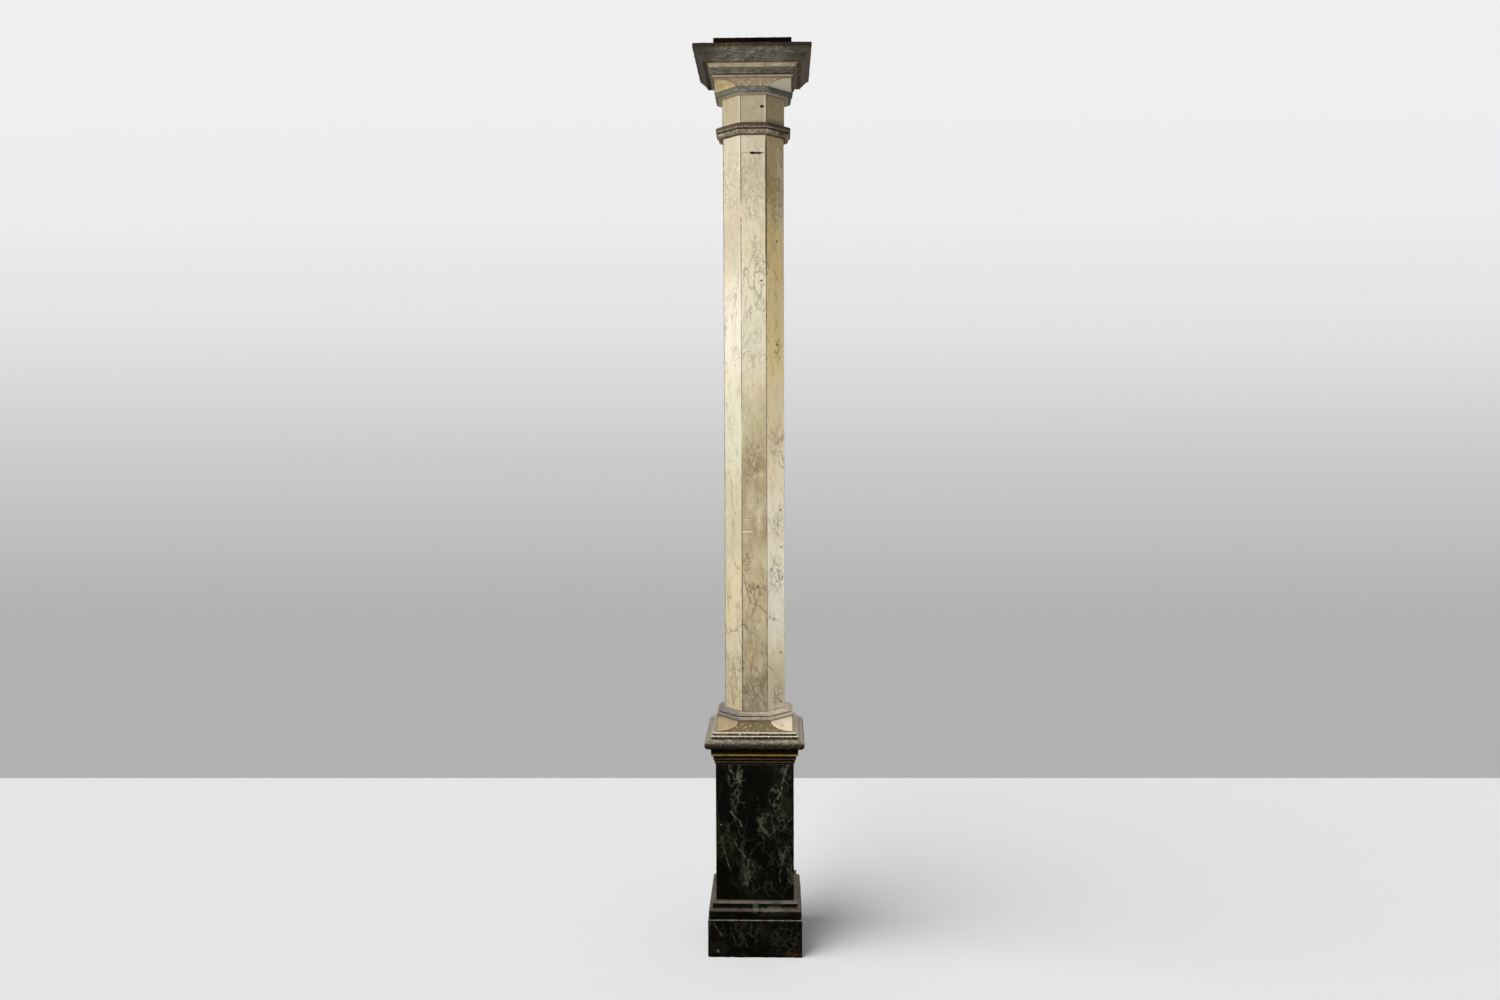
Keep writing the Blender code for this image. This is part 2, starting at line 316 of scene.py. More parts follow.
def run_moulding(name: str, section: Section, outline: Outline, soft: float, arris: float,
                 pitch: float) -> Object:
    """Run an outline round the column by extruding a plate up its whole length.

    Args:
        name: The piece's name.
        section: Its plan.
        outline: Its outline.
        soft: How far the level corners are rounded.
        arris: How far the upright arrises are rounded.
        pitch: The spacing of the edges along the flats.

    Returns:
        The closed piece, with its place in its mesh.
    """
    points = outline.softened(soft)
    half, level = points[0]
    Bench.clear()
    bpy.ops.mesh.primitive_circle_add(vertices=section.value, radius=half * section.corner,
                                      fill_type="NGON", location=(0, 0, level),
                                      rotation=(0, 0, math.pi / section.value))
    piece = Bench.added(name)
    bpy.ops.object.mode_set(mode="EDIT")
    bpy.ops.mesh.select_all(action="SELECT")
    bpy.ops.mesh.bevel(affect="VERTICES", offset=arris, segments=ARRIS_SEGMENTS)
    side = 2 * half * section.half_side
    Bench.select_edges(piece, lambda edge: edge.calc_length() > side / 2)
    bpy.ops.mesh.subdivide(number_cuts=min(MAX_CUTS, max(1, round(side / pitch) - 1)))
    bpy.ops.mesh.select_all(action="SELECT")
    for point in points[1:]:
        bpy.ops.mesh.extrude_region_move(TRANSFORM_OT_translate={"value": (0, 0, point.y - level)})
        share = point.x / half
        bpy.ops.transform.resize(value=(share, share, 1), center_override=(0, 0, point.y))
        half, level = point
    for below, above in zip(points, points[1:]):
        divide_rise(piece, below.y, above.y, pitch)
    bpy.ops.mesh.select_all(action="SELECT")
    bpy.ops.mesh.normals_make_consistent(inside=False)
    bpy.ops.object.mode_set(mode="OBJECT")
    return piece


def divide_rise(piece: Object, low: float, high: float, pitch: float) -> None:
    """Divide the upright edges of a tall face, in edit mode.

    Args:
        piece: The piece being edited.
        low: The height of the face's foot.
        high: The height of its head.
        pitch: The spacing wanted.
    """
    parts = round((high - low) / pitch)
    if parts <= 1:
        return
    shortest = 0.7 * (high - low) / math.ceil(parts / min(parts, ROWS_AT_ONCE))

    def upright(edge: bmesh.types.BMEdge) -> bool:
        """Whether an edge climbs the face."""
        foot, head = sorted(vertex.co.z for vertex in edge.verts)
        return low - NEAR < foot and head < high + NEAR and head - foot > shortest

    Bench.select_edges(piece, upright)
    lengths = parts if parts <= MAX_CUTS else math.ceil(parts / MAX_CUTS)
    bpy.ops.mesh.subdivide(number_cuts=lengths - 1)
    if parts / lengths > 1.5:
        rise = (high - low) / lengths
        for index in range(lengths):
            divide_rise(piece, low + index * rise, low + (index + 1) * rise, pitch)


def mark_edges(piece: Object, section: Section, outline: Outline, reach: float) -> None:
    """Store how near each point lies to a proud edge and to a sunk one, as attributes for the paint.

    Args:
        piece: The finished mesh.
        section: Its plan.
        outline: Its outline before rounding.
        reach: The distance at which an edge is no longer felt.
    """
    count = len(piece.data.vertices)
    places = np.empty(count * 3)
    piece.data.vertices.foreach_get("co", places)
    places = places.reshape(-1, 3)
    turns = np.arange(section.value) * 2 * math.pi / section.value
    outward = np.stack([np.cos(turns), np.sin(turns)], 1)
    depths = places[:, :2] @ outward.T
    side = depths.argmax(1)
    half = depths[np.arange(count), side]
    along = places[:, 0] * -outward[side, 1] + places[:, 1] * outward[side, 0]
    to_right = np.maximum(half * section.half_side - along, 0)
    to_left = np.maximum(half * section.half_side + along, 0)
    to_arris = np.minimum(to_left, to_right)
    proud, sunk = outline.corners()
    spots = np.stack([half, places[:, 2]], 1)

    def nearest(corners: list[Vector]) -> np.ndarray:
        """Each point's distance from the nearest of some corners."""
        found = np.full(count, np.inf)
        for corner in corners:
            found = np.minimum(found, np.hypot(spots[:, 0] - corner.x, spots[:, 1] - corner.y))
        return found

    store(piece, "proud", np.clip(1 - np.minimum(to_arris, nearest(proud)) / reach, 0, 1))
    store(piece, "right_end", np.clip(1 - to_right / reach, 0, 1))
    store(piece, "left_end", np.clip(1 - to_left / reach, 0, 1))
    store(piece, "sunk", np.clip(1 - nearest(sunk) / reach, 0, 1))


def mark_cuts(piece: Object, half: float) -> None:
    """Mark what has been cut into an octagonal piece's sides as sunk, so that the paint lays painted shade in
    it.

    Args:
        piece: The piece.
        half: Its half width.
    """
    places = np.array([tuple(vertex.co) for vertex in piece.data.vertices])
    turns = np.arange(Section.OCTAGON.value) * 2 * math.pi / Section.OCTAGON.value
    reach = (places[:, :2] @ np.array([np.cos(turns), np.sin(turns)])).max(axis=1)
    store(piece, "sunk", (reach < half - CUT_DEPTH).astype(float))


def store(piece: Object, name: str, values: np.ndarray) -> None:
    """Keep one value for each point of a mesh, as an attribute."""
    attribute = piece.data.attributes.get(name) or piece.data.attributes.new(name, "FLOAT", "POINT")
    attribute.data.foreach_set("value", values.astype(np.float32))


def group_from(piece: Object, name: str, power: float) -> str:
    """Make a vertex group from an attribute.

    Args:
        piece: The piece that has the attribute.
        name: The attribute's name.
        power: How sharply the weight falls off.

    Returns:
        The group's name.
    """
    values = np.empty(len(piece.data.vertices), np.float32)
    piece.data.attributes[name].data.foreach_get("value", values)
    group = piece.vertex_groups.new(name=name + "_weight")
    levels = 16
    weights = np.round(values ** power * levels).astype(int)
    for level in range(1, levels + 1):
        chosen = np.nonzero(weights == level)[0].tolist()
        if chosen:
            group.add(chosen, level / levels, "REPLACE")
    return group.name


@dataclass(frozen=True)
class Wear:
    """How far a piece's surface has moved with age: all of it goes inwards."""

    wave: float = 0.0004
    wave_size: float = 0.16
    chips: float = 0.001
    chip_size: float = 0.012

    def texture(self, name: str, size: float, contrast: float) -> bpy.types.Texture:
        """A cloudy pattern of a given size and contrast."""
        clouds = bpy.data.textures.new(name, "CLOUDS")
        clouds.noise_scale = size
        clouds.noise_depth = 3
        clouds.contrast = contrast
        clouds.use_clamp = True
        return clouds

    def give(self, piece: Object) -> None:
        """Make the flats a little uneven and chip the proud edges."""
        wave = self.texture(piece.name + "_wave", self.wave_size, 1.0)
        Bench.finish_with(piece, "DISPLACE", texture=wave, texture_coords="LOCAL", strength=self.wave,
                          mid_level=1.0)
        chips = self.texture(piece.name + "_chips", self.chip_size, 2.6)
        Bench.finish_with(piece, "DISPLACE", texture=chips, texture_coords="LOCAL", strength=self.chips,
                          mid_level=1.0, vertex_group=group_from(piece, "proud", 2.0))


class Recipe:
    """One paint under way: a material's node tree, with short ways to add to it."""

    def __init__(self, name: str, ground: Colour) -> None:
        """Start a material with its shader and its ground colour."""
        self.colour: Input = ground
        self.material = bpy.data.materials.new(name)
        self.material.use_nodes = True
        self.tree = self.material.node_tree
        self.shader = self.tree.nodes["Principled BSDF"]
        self.place = self.add("ShaderNodeTexCoord", {}, "Object")
        split = self.tree.nodes.new("ShaderNodeSeparateXYZ")
        self.tree.links.new(self.place, split.inputs[0])
        self.across, self.deep, self.up = split.outputs

    def add(self, kind: str, inputs: dict[int | str, Input], output: int | str = 0,
            **settings: str) -> Socket:
        """Add a node.

        Args:
            kind: The node's type.
            inputs: Values or sockets for its inputs, by name or number.
            output: Which output to hand back.
            **settings: Values set on the node itself.

        Returns:
            The output socket asked for.
        """
        node = self.tree.nodes.new(kind)
        for key, value in settings.items():
            setattr(node, key, value)
        for key, value in inputs.items():
            self.feed(node.inputs[key], value)
        return node.outputs[output]

    def feed(self, socket: Socket, value: Input) -> None:
        """Put a value, a colour or another socket into an input."""
        if isinstance(value, Socket):
            self.tree.links.new(value, socket)
        elif socket.type == "RGBA":
            socket.default_value = (*value, 1.0)
        else:
            socket.default_value = value

    def math(self, operation: str, *values: Value) -> Socket:
        """Work out one sum of up to three values."""
        return self.add("ShaderNodeMath", dict(enumerate(values)), operation=operation)

    def vector(self, operation: str, *vectors: Input) -> Socket:
        """Work out one sum of one or two vectors."""
        output = 1 if operation in ("DOT_PRODUCT", "DISTANCE", "LENGTH") else 0
        return self.add("ShaderNodeVectorMath", dict(enumerate(vectors)), output, operation=operation)

    def scaled(self, vector: Input, factor: Value) -> Socket:
        """Scale a vector by one value."""
        return self.add("ShaderNodeVectorMath", {0: vector, "Scale": factor}, operation="SCALE")

    def stretched(self, scale: Place, turn: Place = (0.0, 0.0, 0.0)) -> Socket:
        """The place on the piece, turned and then scaled along each axis."""
        return self.add("ShaderNodeMapping", {"Vector": self.place, "Scale": scale, "Rotation": turn})

    def noise(self, vector: Socket, scale: float, detail: float = 3.0, rough: float = 0.5,
              output: str = "Fac") -> Socket:
        """A cloudy pattern, from 0 to 1."""
        return self.add("ShaderNodeTexNoise", {"Vector": vector, "Scale": scale, "Detail": detail,
                                               "Roughness": rough}, output)

    def warped(self, vector: Socket, scale: float, amount: float, detail: float = 2.0) -> Socket:
        """A vector pushed about by clouds.

        Args:
            vector: The vector to push.
            scale: The clouds' scale.
            amount: How far they push, in the vector's own units.
            detail: How broken the clouds are.

        Returns:
            The vector in its new place.
        """
        push = self.vector("SUBTRACT", self.noise(vector, scale, detail, output="Color"), (0.5, 0.5, 0.5))
        return self.vector("ADD", vector, self.scaled(push, amount))

    def web(self, vector: Socket, scale: float) -> Socket:
        """The distance to the nearest line of a net of cells."""
        return self.add("ShaderNodeTexVoronoi", {"Vector": vector, "Scale": scale}, "Distance",
                        feature="DISTANCE_TO_EDGE")

    def cells(self, vector: Socket, scale: float) -> Socket:
        """The distance to the middle of the nearest cell."""
        return self.add("ShaderNodeTexVoronoi", {"Vector": vector, "Scale": scale}, "Distance")

    def fade(self, value: Value, start: float, end: float) -> Socket:
        """Go smoothly from 0 at the start to 1 at the end, which may be the lower of the two."""
        return self.add("ShaderNodeMapRange", {"Value": value, "From Min": start, "From Max": end},
                        interpolation_type="SMOOTHSTEP")

    def mix(self, amount: Value, first: Input, second: Input) -> Socket:
        """Lay one colour over another."""
        return self.add("ShaderNodeMix", {0: amount, 6: first, 7: second}, 2, data_type="RGBA")

    def coat(self, tone: Input, *masks: Value) -> None:
        """Lay a colour over the paint so far, as thickly as the product of its masks."""
        self.colour = self.mix(self.product(*masks), self.colour, tone)

    def thread(self, value: Value, start: float, end: float) -> Socket:
        """Draw a line where a cloudy pattern crosses its middle."""
        return self.fade(self.math("ABSOLUTE", self.math("SUBTRACT", value, 0.5)), start, end)

    def product(self, *values: Value) -> Socket:
        """Multiply several values."""
        total = values[0]
        for value in values[1:]:
            total = self.math("MULTIPLY", total, value)
        return total

    def most(self, first: Value, *others: Value) -> Socket:
        """The largest of several values."""
        for value in others:
            first = self.math("MAXIMUM", first, value)
        return first

    def kept(self, name: str) -> Socket:
        """A value kept for each point of the mesh."""
        return self.add("ShaderNodeAttribute", {}, "Fac", attribute_name=name)

    def facing_up(self) -> Socket:
        """How far the surface faces up, from -1 to 1."""
        normal = self.add("ShaderNodeNewGeometry", {}, "Normal")
        return self.vector("DOT_PRODUCT", normal, (0.0, 0.0, 1.0))

    def on_side(self, facing: Facing, half: float) -> tuple[Socket, Socket]:
        """Where a point lies on one side of the column.

        Args:
            facing: The side.
            half: The side's distance from the axis.

        Returns:
            The spot as a vector of (across, 0, up), and 1 on that side against 0 elsewhere.
        """
        across = self.vector("DOT_PRODUCT", self.place, tuple(facing.across))
        spot = self.add("ShaderNodeCombineXYZ", {0: across, 2: self.up})
        depth = self.vector("DOT_PRODUCT", self.place, tuple(facing.outward))
        return spot, self.fade(depth, half - SIDE_INNER, half - SIDE_OUTER)

    def returns(self) -> tuple[Socket, Socket]:
        """1 on a square moulding's left-hand return, and 1 on its right-hand one."""
        sideways = self.math("SUBTRACT", self.math("ABSOLUTE", self.across),
                             self.math("ABSOLUTE", self.deep))
        returned = self.fade(sideways, 0.0005, 0.004)
        left = self.product(returned, self.fade(self.across, 0.0, -0.02))
        return left, self.product(returned, self.fade(self.across, 0.0, 0.02))

    def bump(self, height: Socket, distance: float, under: Socket | None = None) -> Socket:
        """Raise the surface by a height from 0 to 1 times a distance."""
        inputs = {"Height": height, "Distance": distance, "Strength": 1.0}
        if under is not None:
            inputs["Normal"] = under
        return self.add("ShaderNodeBump", inputs)

    def set_shader(self, inputs: dict[str, Input]) -> None:
        """Set some of the shader's inputs by name."""
        for name, value in inputs.items():
            self.feed(self.shader.inputs[name], value)

    def finish(self, roughness: Value, normal: Socket, specular: float) -> Material:
        """Join colour, roughness and normal to the shader, and hand back the material."""
        self.set_shader({"Base Color": self.colour, "Roughness": roughness, "Normal": normal,
                         "Specular IOR Level": specular})
        return self.material


@dataclass(frozen=True)
class Stroke:
    """A vein, scratch or crack drawn on one side, through points of (across, up)."""

    facing: Facing
    points: tuple[Point, ...]
    width: float = 0.0016
    strength: float = 0.6

    def mask(self, recipe: Recipe, half: float, wander: float) -> Socket:
        """How strongly the stroke shows at each place.

        Args:
            recipe: The paint that it is drawn in.
            half: The side's distance from the axis.
            wander: How far its line wanders from the points.

        Returns:
            The mask, from 0 to the stroke's strength.
        """
        spot, here = recipe.on_side(self.facing, half)
        spot = recipe.warped(spot, 60.0, wander, 4.0)
        away = None
        for first, second in zip(self.points, self.points[1:]):
            start = (first[0], 0.0, first[1])
            run = (second[0] - first[0], 0.0, second[1] - first[1])
            offset = recipe.vector("SUBTRACT", spot, start)
            share = recipe.math("DIVIDE", recipe.vector("DOT_PRODUCT", offset, run),
                                run[0] ** 2 + run[2] ** 2)
            share = recipe.math("MINIMUM", recipe.most(share, 0.0), 1.0)
            gap = recipe.vector("DISTANCE", offset, recipe.scaled(run, share))
            away = gap if away is None else recipe.math("MINIMUM", away, gap)
        line = recipe.fade(away, self.width, self.width * 0.25)
        return recipe.product(line, here, self.strength)


@dataclass(frozen=True)
class Fleck:
    """A round mark on one side: a dot, a nail hole's shadow, a stain or a smudge."""

    facing: Facing
    across: float
    up: float
    radius: float
    strength: float = 0.7
    tall: float = 1.0

    def mask(self, recipe: Recipe, half: float, wander: float) -> Socket:
        """How strongly the mark shows at each place.

        Args:
            recipe: The paint that it is drawn in.
            half: The side's distance from the axis.
            wander: How far its edge wanders.

        Returns:
            The mask, from 0 to the mark's strength.
        """
        spot, here = recipe.on_side(self.facing, half)
        spot = recipe.warped(spot, 90.0, min(wander, self.radius))
        offset = recipe.vector("SUBTRACT", spot, (self.across, 0.0, self.up))
        squashed = recipe.vector("MULTIPLY", offset, (1.0, 1.0, 1.0 / self.tall))
        away = recipe.vector("LENGTH", squashed)
        return recipe.product(recipe.fade(away, self.radius, self.radius * 0.55), here, self.strength)


@dataclass(frozen=True)
class Tint:
    """A colour laid on one side between two levels: partly the paint's own tone, partly painted light and
    shade.
    """

    facing: Facing
    colour: Colour
    low: float
    high: float
    strength: float
    blend: float = 0.14

    def mask(self, recipe: Recipe, half: float, broken: Socket) -> Socket:
        """How strongly the tint shows at each place.

        Args:
            recipe: The paint that it is laid in.
            half: The side's distance from the axis.
            broken: A cloudy pattern that breaks it up.

        Returns:
            The mask, from 0 to the tint's strength.
        """
        _, here = recipe.on_side(self.facing, half)
        above = recipe.fade(recipe.up, self.low - self.blend / 2, self.low + self.blend / 2)
        below = recipe.fade(recipe.up, self.high + self.blend / 2, self.high - self.blend / 2)
        return recipe.product(here, above, below, recipe.fade(broken, 0.15, 0.62), self.strength)


def marks(kind: type, sides: dict[Facing, tuple[tuple, ...]]) -> tuple:
    """Make marks of one kind on several sides, from each mark's other values in order."""
    return tuple(kind(facing, *values) for facing, rows in sides.items() for values in rows)


@dataclass(frozen=True)
class CreamMarble:
    """Cream ground with warm and olive clouds, upright streaks and thin grey-brown veins, painted highlights
    along the arrises, painted shade in cuts, and tints that carry painted light and shade.
    """

    name: str
    half: float
    ground: Colour = (0.66, 0.58, 0.41)
    warm: Colour = (0.64, 0.5, 0.31)
    olive: Colour = (0.46, 0.42, 0.27)
    pale: Colour = (0.74, 0.69, 0.54)
    shade: Colour = (0.27, 0.215, 0.12)
    vein: Colour = (0.06, 0.038, 0.01)
    grime_and_shade: Colour = (0.024, 0.014, 0.007)
    cut_shade: Colour = (0.012, 0.008, 0.005)
    rubbed: Colour = (0.8, 0.73, 0.57)
    joint: Colour = (0.062, 0.038, 0.016)
    # Worn paint and a painted highlight along the arrises.
    arris_wear_and_highlight: Colour = (0.84, 0.77, 0.6)
    scored: Colour = (0.78, 0.71, 0.52)
    stain: Colour = (0.36, 0.25, 0.1)
    strokes: tuple[Stroke, ...] = ()
    flecks: tuple[Fleck, ...] = ()
    stains: tuple[Fleck, ...] = ()
    clusters: tuple[Fleck, ...] = ()
    tints_and_light: tuple[Tint, ...] = ()
    veining: float = 1.0
    scratches: tuple[Stroke, ...] = ()

    def mixed(self) -> Material:
        """Mix the paint."""
        recipe = Recipe(self.name, self.ground)
        fade, noise, product = recipe.fade, recipe.noise, recipe.product
        stretched, coat, kept = recipe.stretched, recipe.coat, recipe.kept
        clouds = noise(stretched((1, 1, 0.35)), 9.0, 4.0, 0.6)
        drift = noise(stretched((1, 1, 0.22)), 26.0, 5.0, 0.65)
        streaks = noise(stretched((1, 1, 0.05)), 170.0, 3.0, 0.6)
        coat(self.warm, fade(clouds, 0.44, 0.68))
        coat(self.pale, fade(drift, 0.5, 0.72), 0.55)
        coat(self.olive, fade(drift, 0.48, 0.26), 0.5)
        coat(self.olive, fade(streaks, 0.52, 0.74), 0.3)
        # Tints by side and height: partly the paint's own tone, partly painted light and shade.
        for tint in self.tints_and_light:
            coat(tint.colour, tint.mask(recipe, self.half, clouds))
        for stain in self.stains:
            coat(self.stain, stain.mask(recipe, self.half, 0.006))
        mottle = noise(recipe.warped(stretched((1, 1, 0.6)), 30.0, 0.02), 48.0, 4.0, 0.6)
        coat(self.pale, fade(mottle, 0.54, 0.7), 0.24)
        coat(self.olive, fade(mottle, 0.48, 0.32), 0.42)
        grain = noise(stretched((1, 1, 0.16)), 150.0, 5.0, 0.75)
        coat(self.pale, fade(grain, 0.55, 0.72), 0.32)
        coat(self.shade, fade(grain, 0.45, 0.29), 0.62)

        gathered = None
        for cluster in self.clusters:
            region = cluster.mask(recipe, self.half, 0.012)
            gathered = region if gathered is None else recipe.most(gathered, region)
        coat(self.vein, self.veins(recipe, gathered), self.veining)
        dots = fade(recipe.cells(recipe.place, 22.0), 0.06, 0.03)
        coat(self.vein, dots, fade(noise(recipe.place, 13.0), 0.55, 0.6), 0.6)
        feather = fade(noise(recipe.place, 80.0, 3.0, 0.7), 0.22, 0.46)
        for stroke in self.strokes:
            coat(self.vein, stroke.mask(recipe, self.half, 0.008), feather)
        # Dark flecks: dots, and painted shade in the crack and the nail hole.
        for fleck in self.flecks:
            coat(self.grime_and_shade, fleck.mask(recipe, self.half, 0.003))
        for scratch in self.scratches:
            coat(self.scored, scratch.mask(recipe, self.half, 0.002))

        rub = noise(stretched((1, 1, 0.5)), 45.0, 4.0, 0.6)
        proud = kept("proud")
        board = noise(stretched((1, 1, 0.12)), 16.0, 4.0, 0.65)
        front = recipe.on_side(Facing.FRONT, self.half)[1]
        aloft = recipe.most(recipe.math("SUBTRACT", 1.0, front), fade(recipe.up, 1.88, 2.02))
        # A light strip at each side's right-hand end, beside the arris: worn paint and a painted highlight; on
        # the front only high up.
        coat(self.arris_wear_and_highlight, fade(kept("right_end"), 0.22, 0.42), fade(board, 0.36, 0.52), aloft, 0.6)
        end = kept("left_end")
        narrow = product(fade(end, 0.34, 0.62), fade(board, 0.3, 0.5), 0.88)
        right = recipe.on_side(Facing.RIGHT_FRONT, self.half)[1]
        open_joint = product(fade(recipe.up, 1.96, 2.06), fade(recipe.up, 2.4, 2.36),
                             fade(rub, 0.22, 0.44))
        wide = product(fade(end, 0.12, 0.4), open_joint, right, 0.94)
        broken = product(fade(end, 0.24, 0.5), open_joint, front, fade(rub, 0.44, 0.54), 0.85)
        wide = recipe.most(wide, product(broken, fade(recipe.up, 2.34, 2.28)))
        lip = product(fade(kept("right_end"), 0.52, 0.74), open_joint, front,
                      fade(recipe.across, 0.0, 0.01), 0.85)
        wide = recipe.most(wide, lip)
        coat(self.joint, recipe.most(narrow, wide))
        worn = product(fade(proud, 0.78, 0.96), fade(rub, 0.46, 0.64))
        coat(self.rubbed, worn, 0.45)
        coat(self.grime_and_shade, fade(proud, 0.8, 0.98), fade(rub, 0.6, 0.66), 0.7)
        # Painted shade inside what has been cut: the crack and the nail hole.
        cut_shade = fade(kept("sunk"), 0.05, 0.6)
        coat(self.cut_shade, cut_shade)

        brush = noise(stretched((1, 1, 0.03)), 420.0, 2.0, 0.5)
        rough = recipe.math("MULTIPLY_ADD", drift, 0.22, 0.36)
        rough = recipe.math("ADD", rough, product(worn, 0.18))
        normal = recipe.bump(brush, 0.00018)
        crackle = fade(recipe.web(recipe.warped(recipe.place, 40.0, 0.01), 75.0), 0.0, 0.05)
        normal = recipe.bump(crackle, 0.00012, normal)
        return recipe.finish(rough, normal, 0.42)

    def veins(self, recipe: Recipe, gathered: Socket | None) -> Socket:
        """The marbler's thin veins: a broken net, long lines that wander upwards, and curly webs.

        Args:
            recipe: The paint.
            gathered: Where the webs are drawn close together, if anywhere.

        Returns:
            How strongly the veins show.
        """
        fade, noise, product = recipe.fade, recipe.noise, recipe.product
        stretched = recipe.stretched
        bent = recipe.warped(stretched((1, 1, 0.42), (0.25, 0.3, 0.0)), 14.0, 0.1, 4.0)
        net = fade(recipe.web(bent, 14.0), 0.034, 0.004)
        net = product(net, fade(noise(recipe.place, 6.0, 2.0), 0.46, 0.6), 0.5)
        folds = noise(stretched((1, 1, 0.3), (0.0, 0.2, 0.0)), 17.0, 4.0, 0.55)
        line = recipe.thread(folds, 0.014, 0.002)
        line = product(line, fade(noise(recipe.place, 8.0, 2.0), 0.44, 0.6), 0.45)
        hair = noise(stretched((1, 1, 0.25), (0.2, -0.35, 0.0)), 48.0, 3.0, 0.6)
        fine = recipe.thread(hair, 0.02, 0.003)
        fine = product(fine, fade(noise(recipe.place, 11.0, 2.0), 0.46, 0.62), 0.38)
        curls = recipe.web(recipe.warped(stretched((1, 1, 0.7)), 46.0, 0.036, 3.0), 62.0)
        curl = fade(curls, 0.1, 0.016)
        loose = product(fade(noise(recipe.place, 7.0, 3.0), 0.54, 0.66), 0.4)
        if gathered is not None:
            loose = recipe.most(loose, gathered)
        webs = product(curl, loose, 0.8)
        smudge = product(fade(curls, 0.3, 0.05), loose, 0.12)
        return recipe.most(net, line, fine, webs, smudge)


@dataclass(frozen=True)
class GreyMarble:
    """Slate and brown-grey paint, streaked along the moulding, with rubbed edges, grooves darkened with dirt
    and painted shade, and painted shade on faces turned up or down as set.
    """

    name: str
    ground: Colour = (0.19, 0.17, 0.14)
    dark: Colour = (0.07, 0.06, 0.05)
    light: Colour = (0.34, 0.31, 0.26)
    tint: Colour = (0.17, 0.16, 0.19)
    grime_and_shade: Colour = (0.02, 0.013, 0.008)
    rubbed: Colour = (0.4, 0.35, 0.27)
    pale: Colour = (0.4, 0.35, 0.25)
    pale_below: float = 0.0
    pale_above: float = 10.0
    groove: float = 0.5
    # Painted shade on faces turned downwards: its strength, and the facing where it starts and where it is
    # full.
    shade_under: float = 0.0
    shade_under_from: float = -0.1
    shade_under_to: float = -0.75
    streak: float = 1.0
    stipple: float = 0.5
    turned: Colour | None = None
    left: Colour | None = None
    right: Colour | None = None
    # Painted shade on faces turned upwards: its strength.
    shoulder: float = 0.0

    def mixed(self) -> Material:
        """Mix the paint."""
        recipe = Recipe(self.name, self.ground)
        fade, noise, product = recipe.fade, recipe.noise, recipe.product
        coat, kept = recipe.coat, recipe.kept
        streaks = self.ground_coat(recipe)
        rub = noise(recipe.stretched((1, 1, 1.5)), 60.0, 4.0, 0.65)
        for tone, near, far in ((self.left, -0.03, -0.055), (self.right, 0.03, 0.055)):
            if tone is not None:
                coat(tone, fade(recipe.across, near, far), fade(rub, 0.2, 0.55), 0.75)
        # Painted shade on the faces turned upwards, broken by the rub pattern.
        coat(self.dark, fade(recipe.facing_up(), 0.15, 0.6), fade(rub, 0.62, 0.4), self.shoulder)
        coat(self.rubbed, fade(kept("proud"), 0.62, 0.95), fade(rub, 0.42, 0.62), 0.65)
        # Dirt and painted shade in the grooves.
        coat(self.grime_and_shade, fade(kept("sunk"), 0.35, 0.95), fade(rub, 0.2, 0.5), 0.85)
        foot = fade(recipe.up, self.pale_below + GREY_LINE, self.pale_below - GREY_LINE)
        head = fade(recipe.up, self.pale_above - GREY_LINE, self.pale_above + GREY_LINE)
        ends = recipe.most(foot, head)
        coat(self.pale, ends, fade(rub, 0.22, 0.46), 0.9)
        # More dirt and painted shade deep in the grooves.
        coat(self.grime_and_shade, fade(kept("sunk"), 0.55, 0.98), self.groove)
        if self.turned is not None:
            left, right = recipe.returns()
            coat(self.turned, recipe.most(left, right), fade(rub, 0.2, 0.5), 0.9)
        # Painted shade on the faces turned downwards, broken by upright scratches.
        under = fade(recipe.facing_up(), self.shade_under_from, self.shade_under_to)
        scratch = noise(recipe.stretched((1, 1, 0.15)), 330.0, 3.0, 0.7)
        coat(self.grime_and_shade, under, fade(scratch, 0.72, 0.52), self.shade_under)
        rough = recipe.math("MULTIPLY_ADD", streaks, 0.25, 0.38)
        stipple = noise(recipe.place, 480.0, 2.0, 0.6)
        normal = recipe.bump(stipple, 0.00018)
        normal = recipe.bump(streaks, 0.00015, normal)
        return recipe.finish(rough, normal, 0.4)

    def ground_coat(self, recipe: Recipe) -> Socket:
        """Lay the streaked and stippled coat, before any wear, and hand back its streaks."""
        fade, noise, coat = recipe.fade, recipe.noise, recipe.coat
        streaks = noise(recipe.warped(recipe.stretched((1, 1, 5.0 * self.streak)), 9.0, 0.06), 38.0, 5.0,
                        0.7)
        stipple = noise(recipe.place, 150.0, 4.0, 0.75)
        clouds = noise(recipe.place, 14.0, 3.0, 0.6)
        coat(self.light, fade(streaks, 0.5, 0.68))
        coat(self.dark, fade(streaks, 0.48, 0.32), 0.8)
        coat(self.tint, fade(clouds, 0.52, 0.7), 0.6)
        bright, deep = fade(stipple, 0.53, 0.66), fade(stipple, 0.46, 0.33)
        coat(self.light, bright, self.stipple)
        coat(self.dark, deep, min(1.0, 1.2 * self.stipple))
        return streaks


